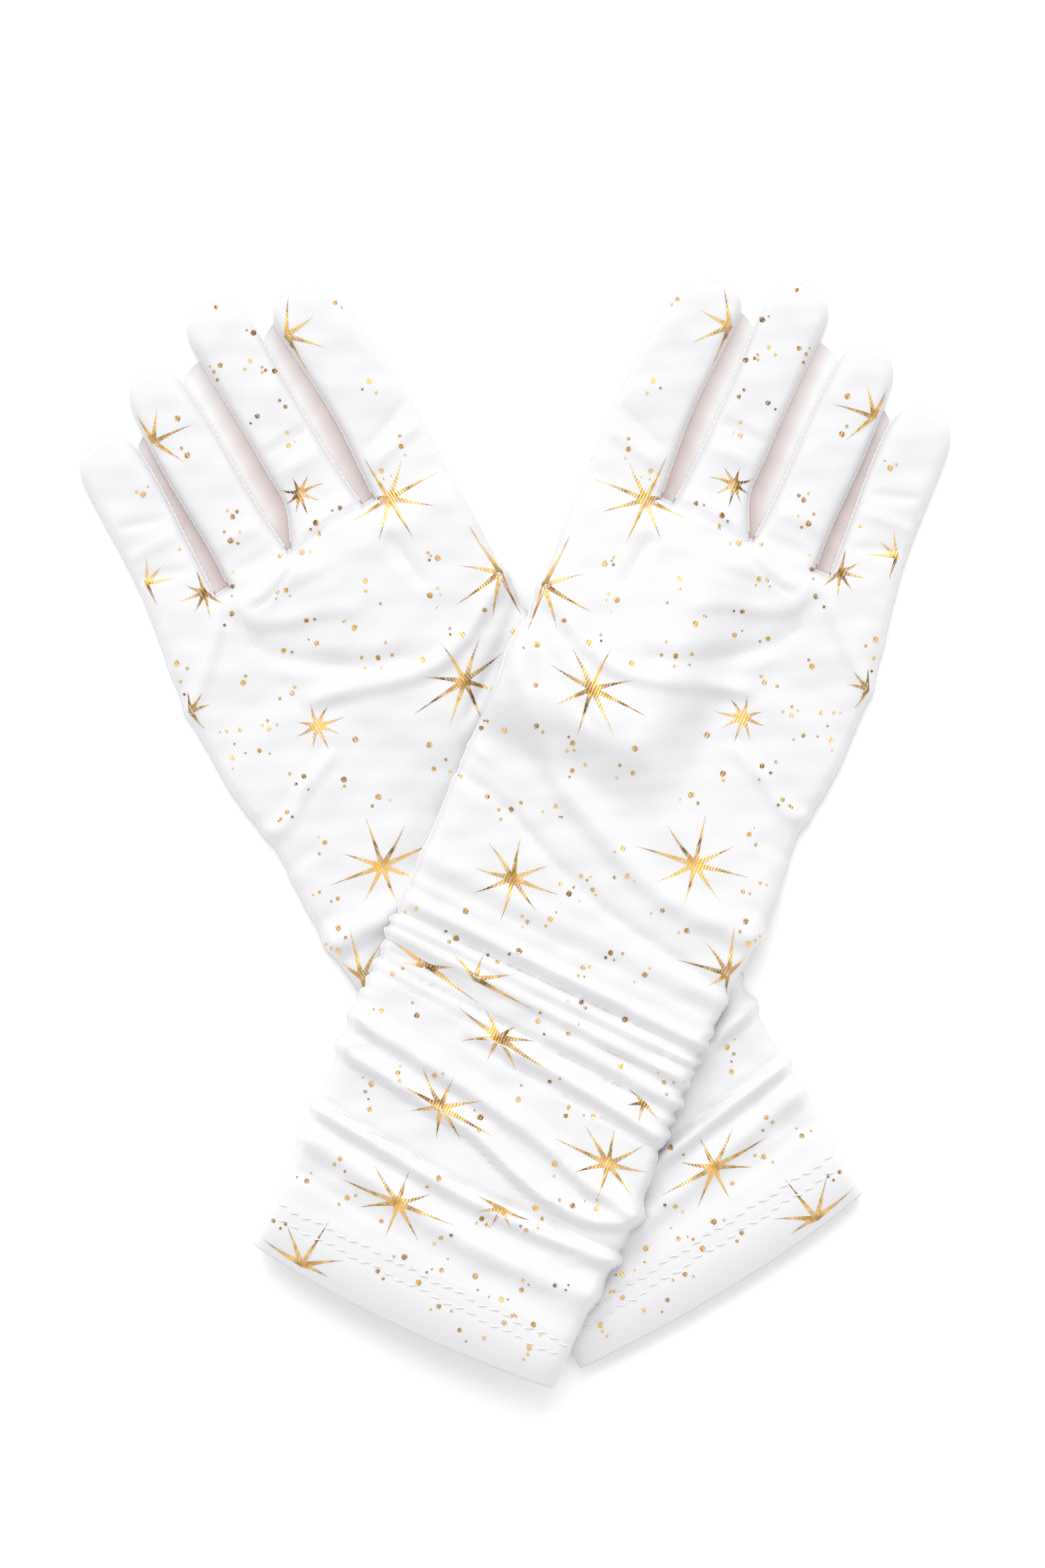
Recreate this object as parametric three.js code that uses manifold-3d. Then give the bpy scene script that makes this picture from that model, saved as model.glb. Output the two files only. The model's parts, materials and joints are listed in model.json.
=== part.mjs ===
// A pair of child's opera gloves, laid palm down with the right glove across the left one.
// Millimetres, +Z up, origin at the middle of the pair on the surface that it lies on.
//
// Each glove is drawn in its own frame: u across it (the thumb side is negative), v along it from
// the middle of the cuff's edge towards the fingertips, z up. The left glove is the right one
// mirrored. A glove is a back panel over a palm panel, closed by seams down both sides, with a
// hollow finger on each finger base and a flat thumb folded under the palm.
import * as THREE from 'three';
import { mergeVertices } from 'three/addons/utils/BufferGeometryUtils.js';
import Module from 'manifold-3d';

const wasm = await Module();
wasm.setup();

// ---- Cloth, thread and clearances ----
const CLOTH = 0.5; // thickness of one layer
const GAP = 0.3; // clearance between pieces that touch
const SEAM_THREAD = 0.35; // radius of the thread down a side seam
const STITCH_THREAD = 0.3; // radius of a row of hem stitching
const THREAD_CLEARANCE = 0.5; // between a thread's middle line less its radius and the cloth

// ---- Hand and forearm ----
const FOREARM_LENGTH = 110; // cuff edge to wrist, as gathered
const PALM_LENGTH = 86; // wrist to finger bases
const CUFF_WIDTH = 77.5;
const WRIST_WIDTH = 79;
const PALM_WIDTH = 80.5;
const KNUCKLE_WIDTH = 78;
const CUFF_SHIFT = 1.2; // how far each width's middle lies to the little finger's side
const KNUCKLE_SHIFT = -3;
const BODY_RISE = 5.2; // how far the back panel stands above the side seams
const BODY_DIP = 0.5; // how far the palm panel hangs below the side seams
const BODY_FULLNESS = 4; // power of the section's curve: higher is flatter on top

// ---- Cuff ----
const HEM_DEPTH = 12;
const HEM_CURL = 1.4; // how far the hem stands off the surface
const HEM_SPAN = 0.84; // share of the half width that the turned-in hem fills
const HEM_CLEARANCE = 0.55; // the hem is loose in the panels
const STITCH_ROWS = [8, 11]; // distance of each row from the cuff's edge
const SEAM_START = 13; // the side seams are caught in the hem up to here

// ---- Gathering of the forearm ----
const GATHER_START = 58;
const GATHER_LENGTH = 48;
const ELASTIC_WIDTH = 4;
const ELASTIC_THICKNESS = 0.4;
const ELASTIC_PLACE = 0.86; // share of the half width

// ---- Fingers, from the thumb's side: widths at base and tip, length, gap to the next one ----
const FINGERS = [
  { name: 'index', base: 16.6, tip: 17, length: 51, lean: -0.3, gap: 4.4 },
  { name: 'middle', base: 18, tip: 14.7, length: 58, lean: -1.3, gap: 2.5 },
  { name: 'ring', base: 15.3, tip: 14.2, length: 52.5, lean: -0.4, gap: 2.7 },
  { name: 'little', base: 18.5, tip: 15, length: 45, lean: -2.4, gap: 0 },
];
const FINGER_RISE = 4.7;
const FINGER_DIP = 0.5;
const FINGER_FULLNESS = 3;
const FINGER_TIP_BLUNTNESS = 2.5;
const FINGER_TIP_SLOPE = 9; // length over which the top comes down to the tip

// ---- Thumb, folded flat under the palm ----
const THUMB_WIDTH = 14;
const THUMB_LENGTH = 35; // from its pivot to its tip
const THUMB_PIVOT = { u: -32, back: 40 }; // back from the finger bases
const THUMB_ANGLE = THREE.MathUtils.degToRad(32); // from the glove's length, towards the palm
const THUMB_RISE = 0.4;
const THUMB_HOLE = 4.2; // radius of the hole that joins it to the palm
const THUMB_BASE_FULLNESS = 2; // a round base
const THUMB_ROOM = 0.7; // clearance between the thumb and the palm that covers it
const THUMB_ROOM_START = 5; // how far before the thumb's base the palm is already raised
const THUMB_ROOM_FADE = 16; // distance over which the palm comes down beside the thumb

// ---- How the pair lies ----
// gape is how much more a cuff stands open than the forearm, settling over the next distance.
const RIGHT_GLOVE = { side: 'right', x: -26.9, y: -110.5, turn: -25, mirror: 1, gape: 2.5, settle: 34 };
const LEFT_GLOVE = { side: 'left', x: 49.5, y: -102.6, turn: 31.45, mirror: -1, gape: 0.5, settle: 14 };
const CROSSING_SLANT = 0.75; // how far along the glove the other one's edge runs per mm across
const CROSSING = { start: -40, up: 64, down: 32, end: 2 }; // along the thumb side, from cuff and knuckles
const CLEAR_OVER_GLOVE = 0.9;
const RIGHT_THUMB_HEIGHT = 8.5; // of its underside at the pivot, above the left glove's edge
const RIGHT_THUMB_FALL = 0.235; // how steeply it then slopes down to the surface

const KNUCKLES = FOREARM_LENGTH + PALM_LENGTH;
const THUMB_THICKNESS = 2 * CLOTH + GAP + THUMB_RISE;
const BODY_THICKNESS = 2 * CLOTH + GAP + BODY_DIP + BODY_RISE;
const HALF = 0.5;
const PIVOT_V = KNUCKLES - THUMB_PIVOT.back;
const THUMB_REACH = PIVOT_V + THUMB_LENGTH * Math.cos(THUMB_ANGLE) + 1.3;
const THUMB_TIP = Math.min(THUMB_REACH, KNUCKLES - 2 * CLOTH); // where its room under the palm ends

// ---- Grids ----
const BODY_ROWS = 24;
const BODY_COLUMNS = 10;
const FINGER_COLUMNS = 6;
const FINGER_ROWS = 3;
const THREAD_SIDES = 4;

// ---- Colours: white satin knit and white thread ----
const SATIN = { color: 0xf6f4f6, roughness: 0.45, metalness: 0 };
const SATIN_INSIDE = { color: 0xe9e6ea, roughness: 0.6, metalness: 0 };
const THREAD = { color: 0xfbfafb, roughness: 0.6, metalness: 0 };
const ELASTIC = { color: 0xf2efe9, roughness: 0.5, metalness: 0 };

const smooth = (low, high, value) => THREE.MathUtils.smoothstep(value, low, high);
const mix = THREE.MathUtils.lerp;

// ---------------------------------------------------------------- outlines and heights

// Width and middle of the hand and forearm at each of four stations, joined smoothly.
const STATIONS = [
  { v: 0, width: CUFF_WIDTH, shift: CUFF_SHIFT },
  { v: FOREARM_LENGTH, width: WRIST_WIDTH, shift: 0 },
  { v: FOREARM_LENGTH + PALM_LENGTH * 0.72, width: PALM_WIDTH, shift: -0.6 },
  { v: KNUCKLES, width: KNUCKLE_WIDTH, shift: KNUCKLE_SHIFT },
];

function station(v) {
  let k = 0;
  while (k < STATIONS.length - 2 && v > STATIONS[k + 1].v) k += 1;
  const [a, b] = [STATIONS[k], STATIONS[k + 1]];
  const t = smooth(a.v, b.v, v);
  return { half: mix(a.width, b.width, t) * HALF, middle: mix(a.shift, b.shift, t) };
}

const acrossBody = (share, v) => {
  const { half, middle } = station(v);
  return middle + share * half;
};

// Height of the thumb's underside at v.
function thumbHeight(glove, v) {
  if (glove.mirror < 0) return 0;
  return RIGHT_THUMB_HEIGHT - RIGHT_THUMB_FALL * (v - PIVOT_V);
}

// 1 at the cuff's hem, 0 where the forearm's section is reached.
const cuffShare = (glove, v) => 1 - smooth(HEM_DEPTH, HEM_DEPTH + glove.settle, v);

// Height of the lowest point of the glove's section at (u, v): it rides over the other glove where
// the two cross, and over its own thumb.
function lie(glove, u, v) {
  let height = HEM_CURL * cuffShare(glove, v);
  if (glove.mirror > 0) {
    const s = v + CROSSING_SLANT * (u + PALM_WIDTH * HALF);
    const over = smooth(CROSSING.start, CROSSING.up, s)
      * (1 - smooth(KNUCKLES - CROSSING.down, KNUCKLES - CROSSING.end, s));
    height = Math.max(height, over * (BODY_THICKNESS + CLEAR_OVER_GLOVE));
  }
  const start = PIVOT_V - THUMB_WIDTH * HALF - THUMB_ROOM_START;
  const alongThumb = smooth(start - THUMB_ROOM_FADE, start, v)
    * (1 - smooth(THUMB_TIP, KNUCKLES - CLOTH, v));
  const inner = THUMB_PIVOT.u + THUMB_LENGTH * Math.sin(THUMB_ANGLE) + THUMB_WIDTH * HALF;
  const overThumb = alongThumb * (1 - smooth(inner, inner + THUMB_ROOM_FADE, u));
  return mix(height, thumbHeight(glove, v) + THUMB_THICKNESS + THUMB_ROOM, overThumb);
}

// The four faces of a two-layer section, as heights above the lowest point.
function layers(bulge, rise, dip) {
  const seam = CLOTH + dip + GAP * HALF;
  const palmInner = seam - GAP * HALF - dip * bulge;
  const backInner = seam + GAP * HALF + rise * bulge;
  return { palmOuter: palmInner - CLOTH, palmInner, backInner, backOuter: backInner + CLOTH, seam };
}

function bodyLayers(glove, share, v) {
  const bulge = 1 - Math.abs(share) ** BODY_FULLNESS;
  return layers(bulge, BODY_RISE + glove.gape * cuffShare(glove, v), BODY_DIP);
}

// ---------------------------------------------------------------- solids

// Turns the triangles round where the shape was drawn inside out, and makes a geometry of them.
function solid(positions, triangles) {
  let volume = 0;
  const [a, b, c] = [new THREE.Vector3(), new THREE.Vector3(), new THREE.Vector3()];
  for (const [i, j, k] of triangles) {
    a.copy(positions[i]);
    b.copy(positions[j]);
    c.copy(positions[k]);
    volume += a.dot(b.cross(c));
  }
  const geometry = new THREE.BufferGeometry();
  const flat = positions.flatMap((p) => [p.x, p.y, p.z]);
  geometry.setAttribute('position', new THREE.Float32BufferAttribute(flat, 3));
  geometry.setIndex(triangles.flatMap(([i, j, k]) => (volume < 0 ? [i, k, j] : [i, j, k])));
  return geometry;
}

// A sheet of cloth between two grids of points with the same rows and columns. A closed sheet is a
// band whose last column joins its first.
function sheet(front, behind, closed = false) {
  const rows = front.length;
  const columns = front[0].length;
  const positions = [...front.flat(), ...behind.flat()];
  const at = (side, row, column) => (side * rows + row) * columns + (column % columns);
  const triangles = [];
  const quad = (a, b, c, d) => triangles.push([a, b, c], [a, c, d]);
  const spans = closed ? columns : columns - 1;
  for (let j = 0; j < rows - 1; j += 1) {
    for (let i = 0; i < spans; i += 1) {
      quad(at(0, j, i), at(0, j, i + 1), at(0, j + 1, i + 1), at(0, j + 1, i));
      quad(at(1, j, i), at(1, j + 1, i), at(1, j + 1, i + 1), at(1, j, i + 1));
    }
    if (!closed) {
      quad(at(0, j, 0), at(0, j + 1, 0), at(1, j + 1, 0), at(1, j, 0));
      quad(at(0, j, spans), at(1, j, spans), at(1, j + 1, spans), at(0, j + 1, spans));
    }
  }
  for (let i = 0; i < spans; i += 1) {
    const last = rows - 1;
    quad(at(0, 0, i), at(1, 0, i), at(1, 0, i + 1), at(0, 0, i + 1));
    quad(at(0, last, i), at(0, last, i + 1), at(1, last, i + 1), at(1, last, i));
  }
  return solid(positions, triangles);
}

// A thread through the points, open at both ends.
function thread(points, radius, steps) {
  const section = new THREE.Shape();
  for (let k = 0; k < THREAD_SIDES; k += 1) {
    const angle = (k / THREAD_SIDES) * 2 * Math.PI;
    const move = k ? 'lineTo' : 'moveTo';
    section[move](radius * Math.cos(angle), radius * Math.sin(angle));
  }
  const extrudePath = new THREE.CatmullRomCurve3(points);
  const geometry = new THREE.ExtrudeGeometry(section, { steps, extrudePath });
  geometry.deleteAttribute('normal');
  geometry.deleteAttribute('uv');
  return mergeVertices(geometry);
}

// A closed thread round a section that lies in a plane across the glove.
function hoop(points, radius) {
  const rings = [];
  for (let k = 0; k < THREAD_SIDES; k += 1) rings.push([]);
  points.forEach((point, i) => {
    const before = points[(i + points.length - 1) % points.length];
    const after = points[(i + 1) % points.length];
    const along = after.clone().sub(before).normalize();
    const out = new THREE.Vector3(along.z, 0, -along.x);
    for (let k = 0; k < THREAD_SIDES; k += 1) {
      const angle = (k / THREAD_SIDES) * 2 * Math.PI;
      const offset = out.clone().multiplyScalar(radius * Math.cos(angle));
      offset.y += radius * Math.sin(angle);
      rings[k].push(point.clone().add(offset));
    }
  });
  const count = points.length;
  const triangles = [];
  for (let k = 0; k < THREAD_SIDES; k += 1) {
    const next = (k + 1) % THREAD_SIDES;
    for (let i = 0; i < count; i += 1) {
      const j = (i + 1) % count;
      const [a, b, c, d] = [k * count + i, k * count + j, next * count + j, next * count + i];
      triangles.push([a, b, c], [a, c, d]);
    }
  }
  return solid(rings.flat(), triangles);
}

function toManifold(geometry) {
  const merged = mergeVertices(geometry);
  return new wasm.Manifold(new wasm.Mesh({
    numProp: 3,
    vertProperties: new Float32Array(merged.attributes.position.array),
    triVerts: new Uint32Array(merged.index.array),
  }));
}

// Cuts a round upright hole.
function cutHole(geometry, u, v, radius) {
  const drill = new THREE.CylinderGeometry(radius, radius, 60, 16);
  drill.deleteAttribute('normal');
  drill.deleteAttribute('uv');
  drill.rotateX(Math.PI / 2);
  drill.translate(u, v, 0);
  const mesh = toManifold(geometry).subtract(toManifold(drill)).getMesh();
  const cut = new THREE.BufferGeometry();
  cut.setAttribute('position', new THREE.Float32BufferAttribute(mesh.vertProperties, 3));
  cut.setIndex([...mesh.triVerts]);
  return cut;
}

// ---------------------------------------------------------------- pieces of one glove

const shares = (columns) => Array.from({ length: columns + 1 }, (_, i) => (2 * i) / columns - 1);
const point = (u, v, z) => new THREE.Vector3(u, v, z);

// A point of the hand or forearm, on the face called for, moved up by a distance.
function bodyPoint(glove, share, v, face, up = 0) {
  const u = acrossBody(share, v);
  return point(u, v, lie(glove, u, v) + bodyLayers(glove, share, v)[face] + up);
}

// Even rows, with one where the palm starts to come down past the thumb's tip.
const bodyRows = Array.from({ length: BODY_ROWS + 1 }, (_, j) => (KNUCKLES * j) / BODY_ROWS)
  .filter((v) => v === KNUCKLES || Math.abs(v - THUMB_TIP) > 1)
  .concat(THUMB_TIP)
  .sort((a, b) => a - b);

function bodyGrid(glove, face) {
  return bodyRows.map((v) => shares(BODY_COLUMNS).map((share) => bodyPoint(glove, share, v, face)));
}

// Round the inside or outside of the cuff at v: across the back, then back across the palm.
function cuffLoop(glove, v, span, faces, moves) {
  const back = shares(BODY_COLUMNS).map((s) => bodyPoint(glove, s * span, v, faces[0], moves[0]));
  const palm = shares(BODY_COLUMNS).map((s) => bodyPoint(glove, -s * span, v, faces[1], moves[1]));
  return [...back, ...palm];
}

function cuffHem(glove) {
  const faces = ['backInner', 'palmInner'];
  const rows = [GAP, HEM_DEPTH * HALF, HEM_DEPTH];
  const wall = CLOTH + HEM_CLEARANCE;
  const outer = rows.map((v) => cuffLoop(glove, v, HEM_SPAN, faces, [-HEM_CLEARANCE, HEM_CLEARANCE]));
  const inner = rows.map((v) => cuffLoop(glove, v, HEM_SPAN - 0.02, faces, [-wall, wall]));
  return sheet(outer, inner, true);
}

function stitchRow(glove, v) {
  const off = THREAD_CLEARANCE + STITCH_THREAD;
  const loop = cuffLoop(glove, v, 1, ['backOuter', 'palmOuter'], [off, -off]);
  const side = (share) => {
    const edge = bodyPoint(glove, share, v, 'seam');
    edge.x += share * (off + GAP);
    return edge;
  };
  const half = BODY_COLUMNS + 1;
  return hoop([...loop.slice(0, half), side(1), ...loop.slice(half), side(-1)], STITCH_THREAD);
}

function sideSeam(glove, share) {
  const points = [];
  const first = SEAM_START;
  const last = KNUCKLES - GAP;
  for (let j = 0; j <= BODY_ROWS; j += 1) {
    const edge = bodyPoint(glove, share, mix(first, last, j / BODY_ROWS), 'seam');
    edge.x += share * (THREAD_CLEARANCE + SEAM_THREAD);
    points.push(edge);
  }
  return thread(points, SEAM_THREAD, BODY_ROWS);
}

function sideElastic(glove, share) {
  const grid = (up) => {
    const rows = [];
    for (let j = 0; j <= 8; j += 1) {
      const v = GATHER_START + (GATHER_LENGTH * j) / 8;
      const reach = (ELASTIC_WIDTH * HALF) / station(v).half;
      rows.push([-1, 0, 1].map((k) => bodyPoint(glove, share + k * reach, v, 'palmInner', up)));
    }
    return rows;
  };
  return sheet(grid(GAP + ELASTIC_THICKNESS), grid(GAP));
}

// Closes the end of the hand between two fingers, from panel to panel.
function crotchSeam(glove, from, to) {
  const knuckles = station(KNUCKLES);
  const walls = [['palmInner', THREAD_CLEARANCE], ['backInner', -THREAD_CLEARANCE]];
  const grid = (v) => walls.map(([face, up]) => [from, to].map((u) => {
    const share = (u - knuckles.middle) / knuckles.half;
    return point(u, v, bodyPoint(glove, share, KNUCKLES, face, up).z);
  }));
  return sheet(grid(KNUCKLES), grid(KNUCKLES - CLOTH));
}

// A flat tube of two panels that closes round a blunt tip: a finger or the thumb. place turns
// (across, along, height) into a point of the glove.
function flatTube({ length, radius, widthAt, rise, dip, fullness, place, rows }) {
  const grid = (face) => rows.map((along) => {
    const half = widthAt(along) * HALF;
    const near = Math.min(1, Math.max(0.12, (length - along) / FINGER_TIP_SLOPE));
    const closing = Math.sqrt(1 - (1 - near) ** 2);
    return shares(FINGER_COLUMNS).map((share) => {
      const bulge = 1 - Math.abs(share) ** fullness;
      return place(share * half, along, layers(bulge, rise * closing, dip)[face]);
    });
  });
  const { seam } = layers(0, rise, dip);
  const off = THREAD_CLEARANCE + SEAM_THREAD;
  const side = (sign) => rows.map((along) => {
    const edge = new THREE.Vector2(sign * widthAt(along) * HALF, along);
    const centre = new THREE.Vector2(0, Math.min(Math.max(along, 0), length - radius));
    edge.add(edge.clone().sub(centre).setLength(off));
    return place(edge.x, edge.y, seam);
  });
  const tip = place(0, length + off, seam);
  const seamPoints = [...side(-1), tip, ...side(1).reverse()];
  return {
    upper: sheet(grid('backOuter'), grid('backInner')),
    lower: sheet(grid('palmInner'), grid('palmOuter')),
    seam: thread(seamPoints, SEAM_THREAD, 5 * rows.length),
  };
}

// Rows along a finger: even down its length and closer round its tip.
function tubeRows(start, length, radius, count) {
  const straight = length - radius;
  const rows = [];
  for (let j = 0; j <= count; j += 1) rows.push(mix(start, straight, j / count));
  for (const share of [0.5, 0.85, 0.99]) rows.push(straight + radius * share);
  return rows;
}

function bluntWidth(width, fromTip, radius) {
  if (fromTip >= radius) return width;
  const share = 1 - fromTip / radius;
  return width * (1 - share ** FINGER_TIP_BLUNTNESS) ** (1 / FINGER_TIP_BLUNTNESS);
}

function finger(glove, { base, tip, length, lean, left }) {
  const radius = tip * HALF;
  const middle = left + base * HALF;
  return flatTube({
    length,
    radius,
    widthAt: (along) => bluntWidth(mix(base, tip, along / length), length - along, radius),
    rise: FINGER_RISE,
    dip: FINGER_DIP,
    fullness: FINGER_FULLNESS,
    rows: tubeRows(GAP, length, radius, FINGER_ROWS),
    place: (across, along, height) => point(
      middle + lean * (along / length) + across,
      KNUCKLES + along,
      height,
    ),
  });
}

function thumb(glove) {
  const radius = THUMB_WIDTH * HALF;
  const [sin, cos] = [Math.sin(THUMB_ANGLE), Math.cos(THUMB_ANGLE)];
  const rows = tubeRows(0, THUMB_LENGTH, radius, FINGER_ROWS);
  const behind = [-0.95, -0.7, -0.35].map((share) => share * radius);
  const tube = flatTube({
    length: THUMB_LENGTH,
    radius,
    widthAt: (along) => (along < 0
      ? THUMB_WIDTH * (1 - (along / radius) ** THUMB_BASE_FULLNESS) ** (1 / THUMB_BASE_FULLNESS)
      : bluntWidth(THUMB_WIDTH, THUMB_LENGTH - along, radius)),
    rise: THUMB_RISE,
    dip: 0,
    fullness: FINGER_FULLNESS,
    rows: [...behind, ...rows],
    place: (across, along, height) => {
      const u = THUMB_PIVOT.u + along * sin + across * cos;
      const v = PIVOT_V + along * cos - across * sin;
      return point(u, v, thumbHeight(glove, v) + height);
    },
  });
  tube.upper = cutHole(tube.upper, THUMB_PIVOT.u, PIVOT_V, THUMB_HOLE);
  return tube;
}

// ---------------------------------------------------------------- assembly

function named(name, geometry, finish, glove) {
  if (glove.mirror < 0) {
    const index = geometry.index.array.slice();
    for (let i = 0; i < index.length; i += 3) [index[i], index[i + 1]] = [index[i + 1], index[i]];
    geometry.scale(-1, 1, 1);
    geometry.setIndex([...index]);
  }
  geometry.computeVertexNormals();
  const mesh = new THREE.Mesh(geometry, new THREE.MeshStandardMaterial(finish));
  mesh.name = `${glove.side}_${name}`;
  return mesh;
}

function makeGlove(glove) {
  const group = new THREE.Group();
  const add = (name, geometry, finish) => group.add(named(name, geometry, finish, glove));

  add('back_panel', sheet(bodyGrid(glove, 'backOuter'), bodyGrid(glove, 'backInner')), SATIN);
  const palm = sheet(bodyGrid(glove, 'palmInner'), bodyGrid(glove, 'palmOuter'));
  add('palm_panel', cutHole(palm, THUMB_PIVOT.u, PIVOT_V, THUMB_HOLE), SATIN);
  add('cuff_hem', cuffHem(glove), SATIN_INSIDE);
  STITCH_ROWS.forEach((v, k) => add(`cuff_stitch_row_${k + 1}`, stitchRow(glove, v), THREAD));
  for (const [side, sign] of [['thumb_side', -1], ['little_side', 1]]) {
    add(`${side}_seam`, sideSeam(glove, sign), THREAD);
    add(`${side}_elastic`, sideElastic(glove, sign * ELASTIC_PLACE), ELASTIC);
  }

  const knuckles = station(KNUCKLES);
  let left = knuckles.middle - knuckles.half;
  FINGERS.forEach((size, k) => {
    const parts = finger(glove, { ...size, left });
    add(`${size.name}_upper`, parts.upper, SATIN);
    add(`${size.name}_lower`, parts.lower, SATIN);
    add(`${size.name}_seam`, parts.seam, THREAD);
    left += size.base;
    if (size.gap) {
      add(`${size.name}_crotch_seam`, crotchSeam(glove, left, left + size.gap), THREAD);
      left += size.gap;
    }
  });

  const folded = thumb(glove);
  add('thumb_upper', folded.upper, SATIN);
  add('thumb_lower', folded.lower, SATIN);
  add('thumb_seam', folded.seam, THREAD);

  group.position.set(glove.x, glove.y, 0);
  group.rotation.z = THREE.MathUtils.degToRad(glove.turn);
  return group;
}

const gloves = new THREE.Group();
gloves.add(makeGlove(LEFT_GLOVE), makeGlove(RIGHT_GLOVE));

// The origin is the middle of the pair's box, on the surface below it.
gloves.updateMatrixWorld(true);
const box = new THREE.Box3().setFromObject(gloves, true);
const middle = box.getCenter(new THREE.Vector3());
gloves.position.set(-middle.x, -middle.y, -box.min.z);

export default gloves;
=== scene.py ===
import json
import math
import random
from functools import lru_cache

import bpy
import numpy as np
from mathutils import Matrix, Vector
from mathutils.bvhtree import BVHTree


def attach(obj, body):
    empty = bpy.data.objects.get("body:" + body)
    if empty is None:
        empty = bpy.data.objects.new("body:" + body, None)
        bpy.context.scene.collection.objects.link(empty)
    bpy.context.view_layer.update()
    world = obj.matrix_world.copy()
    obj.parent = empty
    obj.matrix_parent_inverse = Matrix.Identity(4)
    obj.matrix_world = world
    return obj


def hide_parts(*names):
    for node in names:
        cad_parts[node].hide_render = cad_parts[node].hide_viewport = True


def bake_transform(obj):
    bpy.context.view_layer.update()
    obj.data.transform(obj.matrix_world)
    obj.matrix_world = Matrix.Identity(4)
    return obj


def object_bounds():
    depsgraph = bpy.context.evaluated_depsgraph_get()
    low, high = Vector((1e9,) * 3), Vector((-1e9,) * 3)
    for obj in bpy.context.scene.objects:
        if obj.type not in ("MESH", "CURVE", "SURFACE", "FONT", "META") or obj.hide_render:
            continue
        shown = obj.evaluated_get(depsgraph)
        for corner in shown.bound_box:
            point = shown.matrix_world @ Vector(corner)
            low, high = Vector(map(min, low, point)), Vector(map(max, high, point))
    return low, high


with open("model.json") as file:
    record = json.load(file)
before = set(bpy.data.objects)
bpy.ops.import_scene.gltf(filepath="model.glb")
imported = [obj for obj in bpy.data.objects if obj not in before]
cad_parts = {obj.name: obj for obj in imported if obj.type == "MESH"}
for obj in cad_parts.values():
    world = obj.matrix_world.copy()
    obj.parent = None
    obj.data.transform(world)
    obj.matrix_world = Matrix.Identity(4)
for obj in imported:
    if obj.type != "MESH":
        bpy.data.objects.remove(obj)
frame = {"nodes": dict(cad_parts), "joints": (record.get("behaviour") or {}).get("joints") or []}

bl_info = {
    "name": "Opera Gloves",
    "version": (1, 0, 0),
    "blender": (4, 5, 0),
    "location": "3D View > Sidebar > Gloves",
    "description": "Sews a crossed pair of printed satin gloves on the fitted frame",
    "category": "Add Mesh",
}

# A pair of child's opera gloves in white satin knit with a gold foil print, laid palm down and
# crossed. Each glove is drawn in its own frame, in millimetres: u across it (the thumb side is
# negative), v along it from the cuff's edge towards the fingertips, z up. The left glove mirrors
# the right one.
MM = 0.001
CAD_BOX = [list(corner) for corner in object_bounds()]
JOINTS = {joint["name"]: joint for joint in frame["joints"]}
SIDES = ("left", "right")
FINGERS = ("index", "middle", "ring", "little")

# ---- The cut of a glove ----
KNUCKLES = 196.0  # from the cuff's edge to the finger bases
INDEX_HINGE = (-33.7, KNUCKLES)  # where the index finger's hinge lies in the glove's frame
HAND_WIDTH = 80.5
THUMB_SIDE = [(-3, -36.5), (30, -37), (50, -37.5), (67, -38.5), (90, -39), (120, -40), (150, -40.5),
              (170, -41), (190, -42), (KNUCKLES, -42.3)]
LITTLE_SIDE = [(-3, 40.3), (20, 39.8), (43, 40.5), (60, 39), (100, 38.5), (115, 39), (130, 38.5),
               (139, 37.7), (145, 38.6), (175, 38.8), (187, 37), (KNUCKLES, 35)]
CUFF_BOW = [(-36.5, 0.5), (-22, -1.2), (2, -2), (24, -1.3), (40.3, 0)]  # the cuff's edge is convex
BOW_FADE = 14
# Each finger's two edges as (v, u), its tip's v, and how many columns of cloth it has.
FINGER_CUT = {
    "index": dict(inner=[(KNUCKLES, -42.3), (215, -43), (230, -42.2), (240, -41), (247, -38.5)],
                  outer=[(KNUCKLES, -24.2), (203, -24.9), (215, -26), (235, -25.6), (247, -25)],
                  tip=247, columns=20),
    "middle": dict(inner=[(KNUCKLES, -21), (203, -20.5), (235, -20.8), (244, -21.2), (254.5, -20.5)],
                   outer=[(KNUCKLES, -1.6), (199, -3.2), (204, -5.5), (215, -6.2), (254.5, -6.4)],
                   tip=254.5, columns=22),
    "ring": dict(inner=[(KNUCKLES, -0.6), (203, -0.2), (240, -0.3), (248.5, 0.6)],
                 outer=[(KNUCKLES, 15.2), (203, 14.6), (225, 14.3), (240, 13.3), (248.5, 12.4)],
                 tip=248.5, columns=18),
    "little": dict(inner=[(KNUCKLES, 19), (205, 18.3), (234, 16.7), (240.5, 17.2)],
                   outer=[(KNUCKLES, 35), (205, 33.5), (215, 32.6), (230, 31.8), (240.5, 30.8)],
                   tip=240.5, columns=22),
}
GAP_COLUMNS = (4, 2, 3)  # between the fingers, up to the crotches
BODY_ROWS = 216
FINGER_ROWS = 58
# Added all round a finger's panel to give the size of its cut, which the cloth step works out but puts to no
# use. The area worked out beside it leaves it out, and is one panel's.
SEAM_ALLOWANCE = 6.0
TIP_RADIUS = 8.0
TIP_BLUNTNESS = 2.5  # 2 gives a round tip, more a squarer one
TIP_FLAT = 0.1  # the last row lies this far before the tip
TIP_CROWDING = 0.55  # how much closer the rows lie towards a tip
EDGE_CLUSTER = 0.6  # how much closer the columns lie at a finger's edges
FOLD_LENGTH = 12.0  # length along a finger from its base for its fold line, which is worked out but bends nothing
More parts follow.
